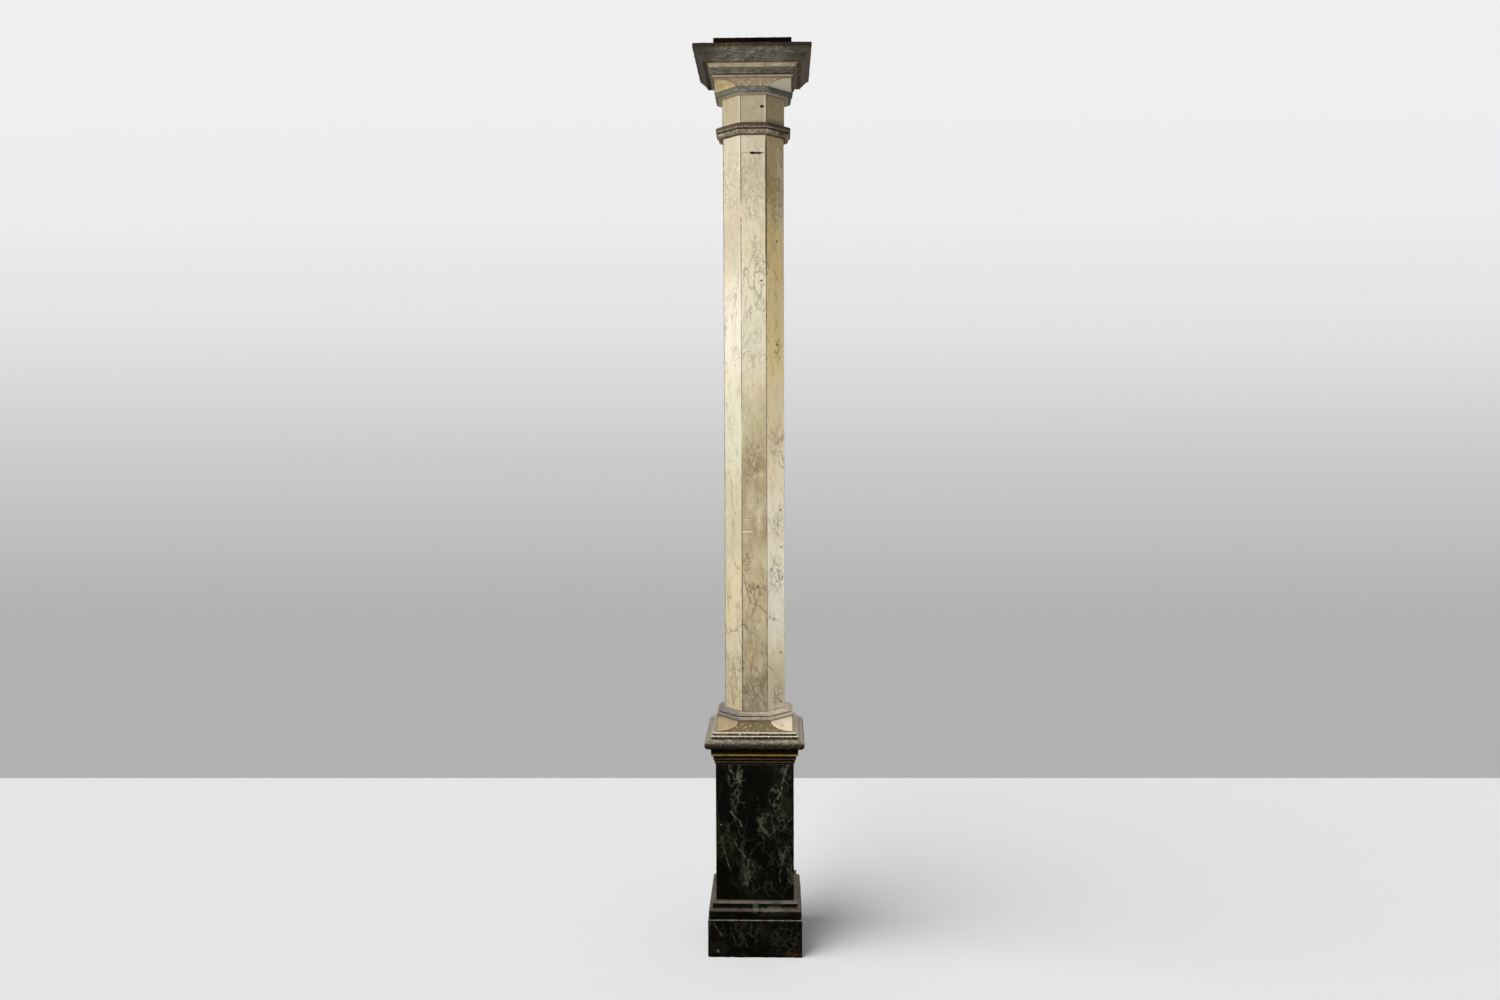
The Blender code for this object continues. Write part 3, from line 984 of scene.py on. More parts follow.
@dataclass(frozen=True)
class DarkMarble:
    """Near-black green paint with fine grey-green veins; its ledges are lighter with dust and a painted sheen.
    """

    name: str
    half: float
    ground: Colour = (0.0015, 0.0014, 0.0007)
    green: Colour = (0.0044, 0.0058, 0.0028)
    vein: Colour = (0.16, 0.164, 0.116)
    faint: Colour = (0.022, 0.024, 0.014)
    # Upward faces: dust, with a painted sheen.
    dust_and_sheen: Colour = (0.15, 0.128, 0.098)
    brown: Colour = (0.045, 0.024, 0.013)
    rust: Colour = (0.022, 0.0115, 0.005)
    chalk: Colour = (0.42, 0.38, 0.32)
    worn_wood: Colour = (0.16, 0.115, 0.075)
    pale_edge: Colour = (0.26, 0.27, 0.235)
    strokes: tuple[Stroke, ...] = ()
    flecks: tuple[Fleck, ...] = ()
    clusters: tuple[Fleck, ...] = ()
    washes: tuple[tuple[Fleck, Colour], ...] = ()
    veining: float = 1.0
    umber: float = 0.35
    pale_head: float = 10.0

    def mixed(self) -> Material:
        """Mix the paint."""
        recipe = Recipe(self.name, self.ground)
        fade, noise, product = recipe.fade, recipe.noise, recipe.product
        stretched, coat = recipe.stretched, recipe.coat
        clouds = noise(stretched((1, 1, 0.7), (0.3, 0.4, 0.0)), 16.0, 5.0, 0.6)
        coat(self.green, fade(clouds, 0.48, 0.7))
        blotch = noise(recipe.warped(recipe.place, 20.0, 0.03), 34.0, 5.0, 0.7)
        coat(self.rust, fade(blotch, 0.5, 0.66), self.umber)
        faint, bright = self.veins(recipe)
        curls = recipe.web(recipe.warped(stretched((1, 1, 0.75)), 30.0, 0.07, 5.0), 40.0)
        for cluster in self.clusters:
            region = cluster.mask(recipe, self.half, 0.014)
            bright = recipe.most(bright, product(fade(curls, 0.085, 0.02), region))
            faint = recipe.most(faint, product(fade(curls, 0.19, 0.03), region))
        coat(self.faint, faint, 0.75 * self.veining)
        coat(self.vein, bright, 0.8 * self.veining)
        broken = fade(noise(recipe.place, 120.0, 3.0, 0.7), 0.3, 0.55)
        for stroke in self.strokes:
            coat(self.vein, stroke.mask(recipe, self.half, 0.015), broken)
        for fleck in self.flecks:
            coat(self.chalk, fleck.mask(recipe, self.half, 0.001))
        rub = noise(stretched((1, 1, 1.3)), 55.0, 4.0, 0.65)
        proud = recipe.kept("proud")
        coat(self.brown, fade(proud, 0.55, 0.9), fade(rub, 0.45, 0.62), 0.55)
        coat(self.worn_wood, fade(proud, 0.78, 0.97), fade(rub, 0.58, 0.68), 0.7)
        # Faces turned upwards are lighter: dust, with a painted sheen.
        settled = noise(recipe.place, 30.0, 5.0, 0.7)
        ledge = product(fade(recipe.facing_up(), 0.22, 0.95), fade(settled, 0.15, 0.6))
        coat(self.dust_and_sheen, ledge, 0.9)
        for wash, tone in self.washes:
            coat(tone, wash.mask(recipe, self.half, 0.014), broken)
        head = product(fade(recipe.up, self.pale_head - 0.0022, self.pale_head - 0.001), broken)
        coat(self.pale_edge, head, 0.95)
        rough = recipe.math("MULTIPLY_ADD", clouds, 0.2, 0.26)
        rough = recipe.math("ADD", rough, product(ledge, 0.35))
        normal = recipe.bump(noise(stretched((1, 1, 0.06)), 300.0, 2.0), 0.0001)
        return recipe.finish(rough, normal, 0.19)

    def veins(self, recipe: Recipe) -> tuple[Socket, Socket]:
        """Faint veins nearly everywhere, and brighter ones in drifts."""
        fade, noise, product = recipe.fade, recipe.noise, recipe.product
        stretched = recipe.stretched
        slant = stretched((1, 1, 0.55), (0.45, 0.4, 0.0))
        bent = recipe.warped(slant, 13.0, 0.1, 5.0)
        net = fade(recipe.web(bent, 17.0), 0.04, 0.006)
        drift = noise(stretched((1, 1, 0.6), (0.3, 0.5, 0.0)), 8.0, 3.0, 0.6)
        faint = product(net, fade(drift, 0.36, 0.56))
        fine = fade(recipe.web(recipe.warped(slant, 25.0, 0.07, 4.0), 34.0), 0.05, 0.0)
        wisp = noise(stretched((1, 1, 0.5)), 19.0, 3.0, 0.6)
        faint = recipe.most(faint, product(fine, fade(wisp, 0.5, 0.66), 0.7))
        folds = noise(stretched((1, 1, 0.45), (0.5, 0.35, 0.0)), 15.0, 5.0, 0.6)
        line = recipe.thread(folds, 0.018, 0.002)
        bright = product(line, fade(drift, 0.54, 0.7), 0.8)
        bright = recipe.most(bright, product(net, fade(drift, 0.6, 0.76), 0.5))
        return faint, bright


@dataclass(frozen=True)
class GiltCornice:
    """Brown-black paint with an olive-gold bead and two dull olive lines."""

    name: str
    gilt_low: float
    gilt_high: float
    lines_high: float
    ground: Colour = (0.0105, 0.0042, 0.0006)
    gold: Colour = (0.24, 0.178, 0.038)
    copper: Colour = (0.235, 0.118, 0.03)
    olive: Colour = (0.068, 0.057, 0.022)
    warm_ground: Colour = (0.034, 0.015, 0.002)
    grime_and_shade: Colour = (0.006, 0.004, 0.002)

    def mixed(self) -> Material:
        """Mix the paint."""
        recipe = Recipe(self.name, self.ground)
        fade, product, coat = recipe.fade, recipe.product, recipe.coat
        mottle = recipe.noise(recipe.stretched((1, 1, 4.0)), 60.0, 4.0, 0.65)
        wander = recipe.noise(recipe.place, 12.0, 3.0, 0.6)
        proud_bead = recipe.kept("bead")
        coat(self.warm_ground, fade(mottle, 0.45, 0.7))
        below = fade(recipe.up, self.lines_high + GREY_LINE, self.lines_high - GREY_LINE)
        coat(self.olive, below, fade(proud_bead, 0.35, 0.85), fade(mottle, 0.25, 0.55), 0.9)
        low = fade(recipe.up, self.gilt_low - GILT_LINE, self.gilt_low + GILT_LINE)
        high = fade(recipe.up, self.gilt_high + GILT_LINE, self.gilt_high - GILT_LINE)
        middle = fade(recipe.math("ABSOLUTE", recipe.across), 0.075, 0.025)
        gold = recipe.mix(product(middle, fade(wander, 0.35, 0.6)), self.gold, self.copper)
        coat(gold, low, high, fade(mottle, 0.22, 0.48), 0.92)
        # Dirt and painted shade in the grooves.
        coat(self.grime_and_shade, fade(recipe.kept("sunk"), 0.45, 0.95), 0.9)
        rough = recipe.math("MULTIPLY_ADD", mottle, 0.25, 0.32)
        normal = recipe.bump(mottle, 0.0002)
        return recipe.finish(rough, normal, 0.14)


@dataclass(frozen=True)
class BareWood:
    """Old dark softwood: grain along the front, a stain and a few red-brown scuffs."""

    name: str
    ground: Colour = (0.006, 0.0035, 0.0009)
    late_wood: Colour = (0.0026, 0.0015, 0.0005)
    scuff: Colour = (0.085, 0.036, 0.018)
    ring: Colour = (0.018, 0.011, 0.004)
    rubbed: Colour = (0.1, 0.075, 0.048)

    def mixed(self) -> Material:
        """Mix the stain."""
        recipe = Recipe(self.name, self.ground)
        fade, noise, stretched = recipe.fade, recipe.noise, recipe.stretched
        coat = recipe.coat
        grain = noise(recipe.warped(stretched((0.08, 1, 1)), 7.0, 0.05), 190.0, 4.0, 0.6)
        rings = noise(stretched((0.12, 1, 1)), 42.0, 3.0, 0.5)
        coat(self.late_wood, fade(grain, 0.4, 0.66))
        coat(self.ring, fade(rings, 0.52, 0.7), 0.6)
        rub = noise(stretched((0.7, 1, 1)), 52.0, 4.0, 0.65)
        coat(self.scuff, fade(rub, 0.58, 0.68), fade(recipe.up, 2.65, 2.635), 0.8)
        coat(self.rubbed, fade(recipe.kept("proud"), 0.7, 0.97), fade(rub, 0.45, 0.62), 0.6)
        rough = recipe.math("MULTIPLY_ADD", grain, 0.2, 0.62)
        normal = recipe.bump(grain, 0.00035)
        return recipe.finish(rough, normal, 0.08)


@dataclass
class SubAssembly:
    """What every part of the column has: its pieces, and how they are put in place."""

    soft: float = 0.0007
    arris: float = 0.0014
    pitch: float = 0.005
    edge_reach: float = 0.006
    pieces: list[Object] = field(default_factory=list)

    @staticmethod
    def limits(node: str) -> tuple[float, float, float]:
        """A node's foot, head and half width, from its imported mesh."""
        low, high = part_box(node)
        return low.z, high.z, high.x

    def run(self, node: str, section: Section, outline: Outline, wear: Wear) -> Object:
        """Make a moulded piece that stands for a node.

        Args:
            node: The node's name, which the piece's name is made from.
            section: The piece's plan.
            outline: The piece's outline.
            wear: How it has aged.

        Returns:
            The piece, aged and shaded but not yet painted.
        """
        piece = run_moulding(node + "_piece", section, outline, self.soft, self.arris, self.pitch)
        mark_edges(piece, section, outline, self.edge_reach)
        wear.give(piece)
        Bench.smooth(piece)
        return piece

    def run_plain(self, node: str, section: Section, wear: Wear) -> tuple[Object, float]:
        """Make a straight piece that stands for a node, and hand it back with its half width."""
        foot, head, half = self.limits(node)
        outline = Outline(half, foot)
        outline.rise_to(head)
        return self.run(node, section, outline, wear), half

    def place(self, piece: Object, node: str, paint: Material) -> None:
        """Paint a piece and put it in its node's place."""
        piece.data.materials.clear()
        piece.data.materials.append(paint)
        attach(piece, BODY)
        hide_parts(node)
        self.pieces.append(piece)
        LOG.info("%s: %d faces", piece.name, len(piece.data.polygons))


@dataclass
class Pedestal(SubAssembly):
    """Plinth, its moulding, the die and the cornice."""

    band_height: float = 0.0225
    band_shoulder: float = 0.007
    fillet_projection: float = 0.0105
    fillet_height: float = 0.015
    seat_margin: float = 0.001
    cornice_bead: float = 0.003
    cornice_step: float = 0.003
    cornice_quirk: float = 0.0035
    gilt_quirk: float = 0.0065
    gilt_bead: float = 0.0038

    def build(self) -> None:
        """Make all four pieces."""
        self.build_plinth()
        self.build_plinth_moulding()
        self.build_die()
        self.build_cornice()

    def build_plinth(self) -> None:
        """The plain block that stands on the floor."""
        piece, half = self.run_plain("plinth_block", Section.SQUARE, Wear(chips=0.0016, chip_size=0.018))
        front = Facing.FRONT
        strokes = marks(Stroke, {front: ((((-0.125, 0.104), (-0.113, 0.088), (-0.096, 0.062)), 0.0022, 0.8),
                                         (((-0.06, 0.098), (-0.048, 0.08), (-0.036, 0.07)), 0.0018, 0.5),
                                         (((0.066, 0.06), (0.07, 0.048), (0.066, 0.04)), 0.0018, 0.5))})
        paint = DarkMarble(
            "plinth_paint", half, strokes=strokes,
            flecks=(Fleck(front, -0.1085, 0.0188, 0.004, 0.8, 1.6),),
            washes=((Fleck(front, -0.105, 0.03, 0.04, 0.6, 0.6), (0.02, 0.019, 0.009)),
                    (Fleck(front, 0.02, 0.085, 0.03, 0.5, 0.7), (0.017, 0.019, 0.011)),
                    (Fleck(front, 0.112, 0.01, 0.028, 0.9, 0.26), (0.1, 0.044, 0.022))),
            clusters=(Fleck(front, -0.03, 0.07, 0.06, 0.22, 0.8), Fleck(front, 0.09, 0.055, 0.06, 0.22, 0.9)),
            pale_head=self.limits("plinth_block")[1], umber=0.8, veining=1.2,
            ground=(0.0022, 0.0014, 0.0005))
        self.place(piece, "plinth_block", paint.mixed())

    def build_plinth_moulding(self) -> None:
        """The band, shoulder, fillet and cove between the plinth and the die."""
        foot, head, half = self.limits("plinth_moulding")
        die = self.limits("pedestal_die")[2]
        outline = Outline(half, foot)
        outline.rise(self.band_height)
        outline.upright_quarter(die + self.fillet_projection, self.band_shoulder)
        outline.rise(self.fillet_height)
        outline.level_quarter(die + self.seat_margin, head - outline.level)
        piece = self.run("plinth_moulding", Section.SQUARE, outline, Wear(chips=0.0013, chip_size=0.016))
        front = Facing.FRONT
        paint = DarkMarble(
            "plinth_moulding_paint", die + 0.0035, veining=0.3, umber=0.5, ground=(0.0016, 0.0008, 0.0002),
            dust_and_sheen=(0.178, 0.15, 0.116),
            washes=((Fleck(front, -0.02, 0.1392, 0.24, 0.8, 0.019), (0.056, 0.042, 0.031)),
                    (Fleck(front, 0.104, 0.14, 0.034, 0.8, 0.22), (0.09, 0.062, 0.047)),
                    (Fleck(front, 0.052, 0.1395, 0.046, 0.9, 0.15), (0.14, 0.126, 0.088)),
                    (Fleck(front, 0.06, 0.15, 0.032, 0.7, 0.14), (0.02, 0.034, 0.024)),
                    (Fleck(front, 0.002, 0.144, 0.01, 0.9, 1.4), (0.14, 0.134, 0.098)),
                    (Fleck(front, 0.055, 0.127, 0.06, 0.6, 0.08), (0.05, 0.028, 0.019))))
        self.place(piece, "plinth_moulding", paint.mixed())

    def build_die(self) -> None:
        """The tall marbled block of the pedestal."""
        piece, half = self.run_plain("pedestal_die", Section.SQUARE, Wear(wave=0.0005))
        front = Facing.FRONT
        lines = (
            (((-0.076, 0.562), (-0.069, 0.541), (-0.052, 0.53), (-0.042, 0.508)), 0.003, 1.0),
            (((-0.069, 0.541), (-0.062, 0.522), (-0.05, 0.512)), 0.002, 0.6),
            (((-0.042, 0.508), (-0.055, 0.488), (-0.062, 0.468), (-0.051, 0.446)), 0.0022, 0.7),
            (((-0.071, 0.424), (-0.061, 0.412), (-0.047, 0.399), (-0.038, 0.38)), 0.0032, 1.0),
            (((-0.051, 0.446), (-0.06, 0.432), (-0.071, 0.424)), 0.0018, 0.6),
            (((0.094, 0.554), (0.084, 0.522), (0.076, 0.487), (0.066, 0.462)), 0.0026, 0.9),
            (((0.084, 0.522), (0.096, 0.508), (0.1, 0.488)), 0.0018, 0.5),
            (((0.057, 0.466), (0.054, 0.433), (0.062, 0.412)), 0.002, 0.7),
            (((0.026, 0.413), (0.015, 0.386), (0.031, 0.37), (0.044, 0.356)), 0.0024, 0.8),
            (((0.031, 0.37), (0.022, 0.35), (0.028, 0.33)), 0.0018, 0.6),
            (((-0.102, 0.352), (-0.092, 0.33), (-0.096, 0.322), (-0.084, 0.29), (-0.072, 0.246)), 0.0026, 0.9),
            (((-0.06, 0.335), (-0.043, 0.307), (-0.022, 0.284), (-0.016, 0.233), (-0.023, 0.203)), 0.0028,
             0.95),
            (((-0.022, 0.284), (-0.004, 0.262), (0.004, 0.24)), 0.0018, 0.6),
            (((0.09, 0.309), (0.08, 0.27), (0.071, 0.233), (0.078, 0.204)), 0.0024, 0.7),
            (((0.04, 0.3), (0.052, 0.276), (0.048, 0.25)), 0.0018, 0.5),
            (((0.004, 0.47), (0.012, 0.446), (0.008, 0.424)), 0.0016, 0.45),
        )
        paint = DarkMarble("die_paint", half, strokes=marks(Stroke, {front: lines}),
                           flecks=(Fleck(front, -0.0993, 0.3845, 0.0022, 0.9),),
                           clusters=(Fleck(front, -0.056, 0.528, 0.03, 0.75, 1.5),
                                     Fleck(front, -0.05, 0.455, 0.028, 0.5, 1.5),
                                     Fleck(front, 0.064, 0.465, 0.028, 0.55, 1.8),
                                     Fleck(front, 0.036, 0.385, 0.04, 0.7, 1.1),
                                     Fleck(front, -0.09, 0.32, 0.03, 0.55, 1.4),
                                     Fleck(front, -0.012, 0.25, 0.026, 0.35, 1.6),
                                     Fleck(front, 0.088, 0.29, 0.026, 0.5, 1.5),
                                     Fleck(front, 0.086, 0.4, 0.03, 0.45, 1.4)),
                           washes=((Fleck(front, -0.085, 0.325, 0.045, 0.5, 1.2), (0.02, 0.021, 0.009)),
                                   (Fleck(front, 0.088, 0.435, 0.032, 0.5, 1.4), (0.022, 0.023, 0.01)),
                                   (Fleck(front, 0.04, 0.395, 0.04, 0.35, 1.2), (0.018, 0.02, 0.01))))
        self.place(piece, "pedestal_die", paint.mixed())

    def build_cornice(self) -> None:
        """Two small beads, the gilt bead and the plain fascia."""
        foot, head, half = self.limits("pedestal_cornice")
        die = self.limits("pedestal_die")[2]
        outline = Outline(die + self.seat_margin, foot)
        for _ in range(2):
            outline.rise(self.cornice_quirk)
            outline.bead(self.cornice_bead)
            outline.step(outline.half + self.cornice_step)
        lines_high = outline.level
        outline.rise(self.gilt_quirk)
        outline.step(half - self.gilt_bead)
        gilt_low = outline.level
        outline.bead(self.gilt_bead)
        gilt_high = outline.level
        outline.step(half)
        outline.rise_to(head)
        piece = self.run("pedestal_cornice", Section.SQUARE, outline, Wear(chips=0.0006))
        self.mark_beads(piece, outline)
        paint = GiltCornice("cornice_paint", gilt_low, gilt_high, lines_high)
        self.place(piece, "pedestal_cornice", paint.mixed())

    def mark_beads(self, piece: Object, outline: Outline) -> None:
        """Store how far the two small beads stand out of the slope between their feet."""
        die = self.limits("pedestal_die")[2] + self.seat_margin
        foot = outline.points[0][1]
        pace = self.cornice_quirk + 2 * self.cornice_bead
        values = np.zeros(len(piece.data.vertices))
        for index, vertex in enumerate(piece.data.vertices):
            half = max(abs(vertex.co.x), abs(vertex.co.y))
            course = int(max(0.0, vertex.co.z - foot) // pace)
            proud = half - (die + course * self.cornice_step)
            values[index] = min(1.0, max(0.0, proud / self.cornice_bead))
        store(piece, "bead", values)


@dataclass
class Base(SubAssembly):
    """Torus and fillets, the block with hollowed corners and the ring under the shaft."""

    torus_radius: float = 0.0145
    torus_quirk_height: float = 0.003
    torus_quirk_depth: float = 0.004
    wide_fillet: float = 0.1293
    narrow_fillet: float = 0.1227
    fillet_height: float = 0.006
    quirk_height: float = 0.002
    quirk_depth: float = 0.003
    block_lip: float = 0.0025
    ring_undercut: float = 0.0025
    ring_undercut_height: float = 0.002
    ring_fillet: float = 0.0095
    ring_groove: float = 0.002
    ring_groove_depth: float = 0.005
    ring_lip: float = 0.002
    collar_margin: float = 0.0008

    def build(self) -> None:
        """Make all three pieces."""
        self.build_torus()
        self.build_block()
        self.build_ring()

    def build_torus(self) -> None:
        """The half round over the cornice, and the two fillets on it."""
        foot, head, half = self.limits("base_torus")
        outline = Outline(half - self.torus_radius, foot)
        outline.bead(self.torus_radius)
        outline.step(self.wide_fillet - self.torus_quirk_depth)
        outline.rise(self.torus_quirk_height)
        outline.step(self.wide_fillet)
        outline.rise(self.fillet_height)
        outline.step(self.narrow_fillet - self.quirk_depth)
        outline.rise(self.quirk_height)
        outline.step(self.narrow_fillet)
        outline.rise_to(head)
        piece = self.run("base_torus", Section.SQUARE, outline, Wear(chips=0.0009))
        # Painted shade on the torus, from just below its top to its underside.
        paint = GreyMarble("torus_paint", ground=(0.18, 0.146, 0.098), dark=(0.026, 0.016, 0.008),
                           light=(0.5, 0.435, 0.335), tint=(0.16, 0.135, 0.105),
                           grime_and_shade=(0.014, 0.006, 0.0016), shade_under=0.97, shade_under_from=0.9, shade_under_to=0.2,
                           pale_above=foot + 2 * self.torus_radius + 0.0002, pale=(0.92, 0.8, 0.6),
                           groove=0.95, stipple=1.0, turned=(0.34, 0.3, 0.24), streak=1.7)
        self.place(piece, "base_torus", paint.mixed())

    def build_block(self) -> None:
        """The block that turns the square into an octagon."""
        piece = CornerBlock("base_block", square_at_head=False, lip=self.block_lip).make()
        paint = BlockPaint("base_block_paint", left=(0.4, 0.295, 0.165), right=(0.68, 0.57, 0.42),
                           pale_cloud=(0.58, 0.52, 0.34), dark_cloud=(0.32, 0.245, 0.14),
                           flat=(0.19, 0.14, 0.068))
        self.place(piece, "base_block", paint.mixed())

    def build_ring(self) -> None:
        """The ring that the shaft stands on."""
        foot, head, half = self.limits("base_ring")
        shaft = self.limits("shaft")[2]
        outline = Outline(half - self.ring_undercut, foot)
        outline.rise(self.ring_undercut_height)
        outline.step(half)
        outline.rise(self.ring_fillet)
        outline.step(half - 2 * self.ring_groove_depth)
        outline.rise(self.ring_groove)
        outline.step(half - self.ring_groove_depth)
        outline.rise(self.ring_lip)
        outline.level_quarter(shaft + self.collar_margin, head - outline.level)
        piece = self.run("base_ring", Section.OCTAGON, outline, Wear(chips=0.0009))
        paint = GreyMarble("base_ring_paint", ground=(0.35, 0.28, 0.205), dark=(0.15, 0.112, 0.08),
                           light=(0.58, 0.5, 0.38), tint=(0.29, 0.25, 0.235),
                           grime_and_shade=(0.035, 0.02, 0.012), stipple=0.7, left=(0.185, 0.17, 0.16),
                           right=(0.52, 0.445, 0.33), groove=0.9)
        self.place(piece, "base_ring", paint.mixed())


@dataclass
class Shaft(SubAssembly):
    """The octagonal shaft and the ring round its neck."""

    seat: float = 0.002
    ovolo: float = 0.0085
    bead_set_back: float = 0.0055
    bead_height: float = 0.003
    groove_height: float = 0.0036
    groove_depth: float = 0.0034
    fascia: float = 0.0092
    collar_margin: float = 0.0008
    crack_level: float = 2.3407
    crack_run: Point = (-0.008, 0.021)
    crack_height: float = 0.0056
    crack_depth: float = 0.008
    crack_rag: float = 0.001

    def build(self) -> None:
        """Make both pieces."""
        self.build_shaft()
        self.build_neck_ring()

    def build_shaft(self) -> None:
        """The eight-sided shaft, with the open crack near its head."""
        wear = Wear(wave=0.0006, wave_size=0.22, chips=0.0012)
        piece, half = self.run_plain("shaft", Section.OCTAGON, wear)
        self.cut_crack(piece, half)
        mark_cuts(piece, half)
        Bench.smooth(piece)
        self.place(piece, "shaft", self.paint(half).mixed())

    def cut_crack(self, piece: Object, half: float) -> None:
        """Open a ragged level crack in the front board.

        Args:
            piece: The shaft.
            half: Its half width.
        """
        start, end = self.crack_run
        Bench.clear()
        bpy.ops.mesh.primitive_cube_add(size=1, location=((start + end) / 2, -half, self.crack_level),
                                        scale=(end - start, 2 * self.crack_depth, self.crack_height))
        cutter = Bench.added("crack_cutter")
        bpy.ops.object.mode_set(mode="EDIT")
        Bench.select_edges(cutter, lambda edge: edge.calc_length() > (end - start) / 2)
        bpy.ops.mesh.subdivide(number_cuts=13)
        bpy.ops.mesh.select_all(action="SELECT")
        bpy.ops.transform.vertex_random(offset=self.crack_rag, uniform=1.0, seed=5)
        bpy.ops.object.mode_set(mode="OBJECT")
        Bench.cut_away(piece, cutter)

    def paint(self, half: float) -> CreamMarble:
        """The shaft's paint, with the marks that show on its front and right-hand boards."""
        front, right, left = Facing.FRONT, Facing.RIGHT_FRONT, Facing.LEFT_FRONT
        strokes = marks(Stroke, {
            front: (
                (((-0.036, 2.3422), (-0.021, 2.3421), (-0.008, 2.3415)), 0.0016, 0.6),
                (((0.02, 2.3405), (0.03, 2.3405), (0.037, 2.3407)), 0.0022, 0.9),
                (((-0.005, 2.093), (0.001, 2.058), (0.0065, 2.029), (0.008, 2.006)), 0.0022, 0.4),
                (((-0.0255, 2.0005), (-0.014, 1.9715), (-0.005, 1.948)), 0.0018, 0.35),
                (((0.02, 2.25), (0.012, 2.215), (0.018, 2.18)), 0.0018, 0.3),
                (((-0.03, 2.18), (-0.018, 2.15), (-0.024, 2.11)), 0.0018, 0.3),
                (((-0.022, 1.52), (-0.004, 1.49), (0.01, 1.455), (0.026, 1.43)), 0.002, 0.4),
                (((0.026, 1.51), (0.006, 1.478), (-0.008, 1.44), (-0.02, 1.405)), 0.002, 0.35),
                (((-0.036, 1.2826), (0.0, 1.2832), (0.036, 1.2822)), 0.0018, 0.45),
                (((-0.032, 1.12), (-0.029, 1.101), (-0.017, 1.054), (-0.0085, 1.034), (0.018, 1.022),
                  (0.034, 1.004)), 0.0026, 0.62),
                (((-0.0144, 1.0425), (-0.02, 1.01), (-0.0264, 0.9686), (-0.034, 0.94)), 0.002, 0.5),
                (((-0.0264, 0.9686), (-0.01, 0.952), (0.004, 0.934)), 0.0018, 0.35),
                (((-0.012, 0.8), (-0.0035, 0.776), (0.016, 0.752), (0.032, 0.731)), 0.0024, 0.55),
            ),
            right: (
                (((0.0008, 1.79), (0.006, 1.752), (0.013, 1.718)), 0.0018, 0.4),
                (((-0.022, 1.76), (-0.01, 1.735), (-0.004, 1.7)), 0.0018, 0.35),
                (((0.02, 1.33), (0.006, 1.29), (0.012, 1.25), (-0.004, 1.21)), 0.0018, 0.4),
                (((-0.02, 1.18), (-0.004, 1.14), (0.01, 1.12), (0.022, 1.08)), 0.0018, 0.4),
                (((0.012, 1.12), (0.004, 1.08), (0.01, 1.04)), 0.0016, 0.4),
            ),
        })
        dots = ((front, 0.0238, 1.9742), (right, 0.0091, 1.7908), (right, 0.0081, 2.0913),
                (right, 0.0199, 1.3041), (right, 0.0237, 1.1938), (right, -0.008, 0.9845),
                (right, 0.0205, 0.8803), (right, 0.0221, 0.7328), (front, -0.0345, 0.8412))
        clusters = marks(Fleck, {
            front: ((-0.006, 2.18, 0.026, 0.45, 1.6), (0.012, 2.05, 0.02, 0.5, 2.4),
                    (0.0, 1.8, 0.024, 0.35, 1.8), (0.002, 1.46, 0.034, 0.6, 1.7),
                    (0.006, 1.075, 0.036, 0.95, 0.7), (-0.02, 1.15, 0.018, 0.7, 2.6),
                    (0.004, 0.79, 0.032, 0.7, 1.5), (0.0, 0.955, 0.022, 0.45, 0.7)),
            right: ((0.002, 1.115, 0.038, 0.95, 1.7), (0.01, 1.775, 0.022, 0.8, 2.0),
                    (0.0, 2.2, 0.036, 0.6, 2.6), (0.004, 1.26, 0.024, 0.7, 2.0),
                    (0.006, 0.76, 0.032, 0.9, 1.1), (-0.004, 1.5, 0.026, 0.55, 2.4)),
            left: ((0.006, 0.79, 0.03, 0.5, 2.6), (-0.004, 1.56, 0.024, 0.4, 2.0)),
        })
        # Tints by side and height: besides the paint's own tone they carry painted light and shade, such as
        # the darker lower front and the pale patch high on the left side.
        tints_and_light = marks(Tint, {
            right: (((0.44, 0.28, 0.062), 2.18, 2.6, 0.95), ((0.71, 0.505, 0.165), 1.95, 2.18, 0.94),
                    ((0.68, 0.53, 0.24), 1.66, 1.95, 0.9), ((0.6, 0.49, 0.28), 1.38, 1.66, 0.7),
                    ((0.62, 0.57, 0.44), 1.18, 1.36, 0.6), ((0.68, 0.65, 0.55), 0.92, 1.18, 0.65),
                    ((0.46, 0.38, 0.26), 0.6, 0.86, 0.7)),
            front: (((0.37, 0.32, 0.19), 1.46, 1.68, 0.85, 0.2),
                    ((0.56, 0.535, 0.425), 1.72, 1.92, 0.65), ((0.5, 0.435, 0.305), 2.22, 2.6, 0.75),
                    ((0.2, 0.145, 0.052), 1.16, 1.5, 0.94, 0.2),
                    ((0.375, 0.3, 0.165), 0.84, 1.16, 0.92, 0.16),
                    ((0.14, 0.102, 0.036), 0.5, 0.88, 0.94, 0.2),
                    ((0.62, 0.58, 0.44), 1.92, 2.2, 0.45)),
            left: (((0.56, 0.485, 0.36), 2.2, 2.6, 0.75), ((0.5, 0.425, 0.3), 1.98, 2.2, 0.9),
                   ((0.68, 0.61, 0.485), 1.7, 1.98, 0.9, 0.08),
                   ((0.6, 0.575, 0.435), 1.42, 1.68, 0.9), ((0.54, 0.48, 0.31), 1.16, 1.42, 0.85),
                   ((0.76, 0.645, 0.385), 0.86, 1.16, 0.6), ((0.69, 0.555, 0.325), 0.6, 0.86, 0.6)),
        })
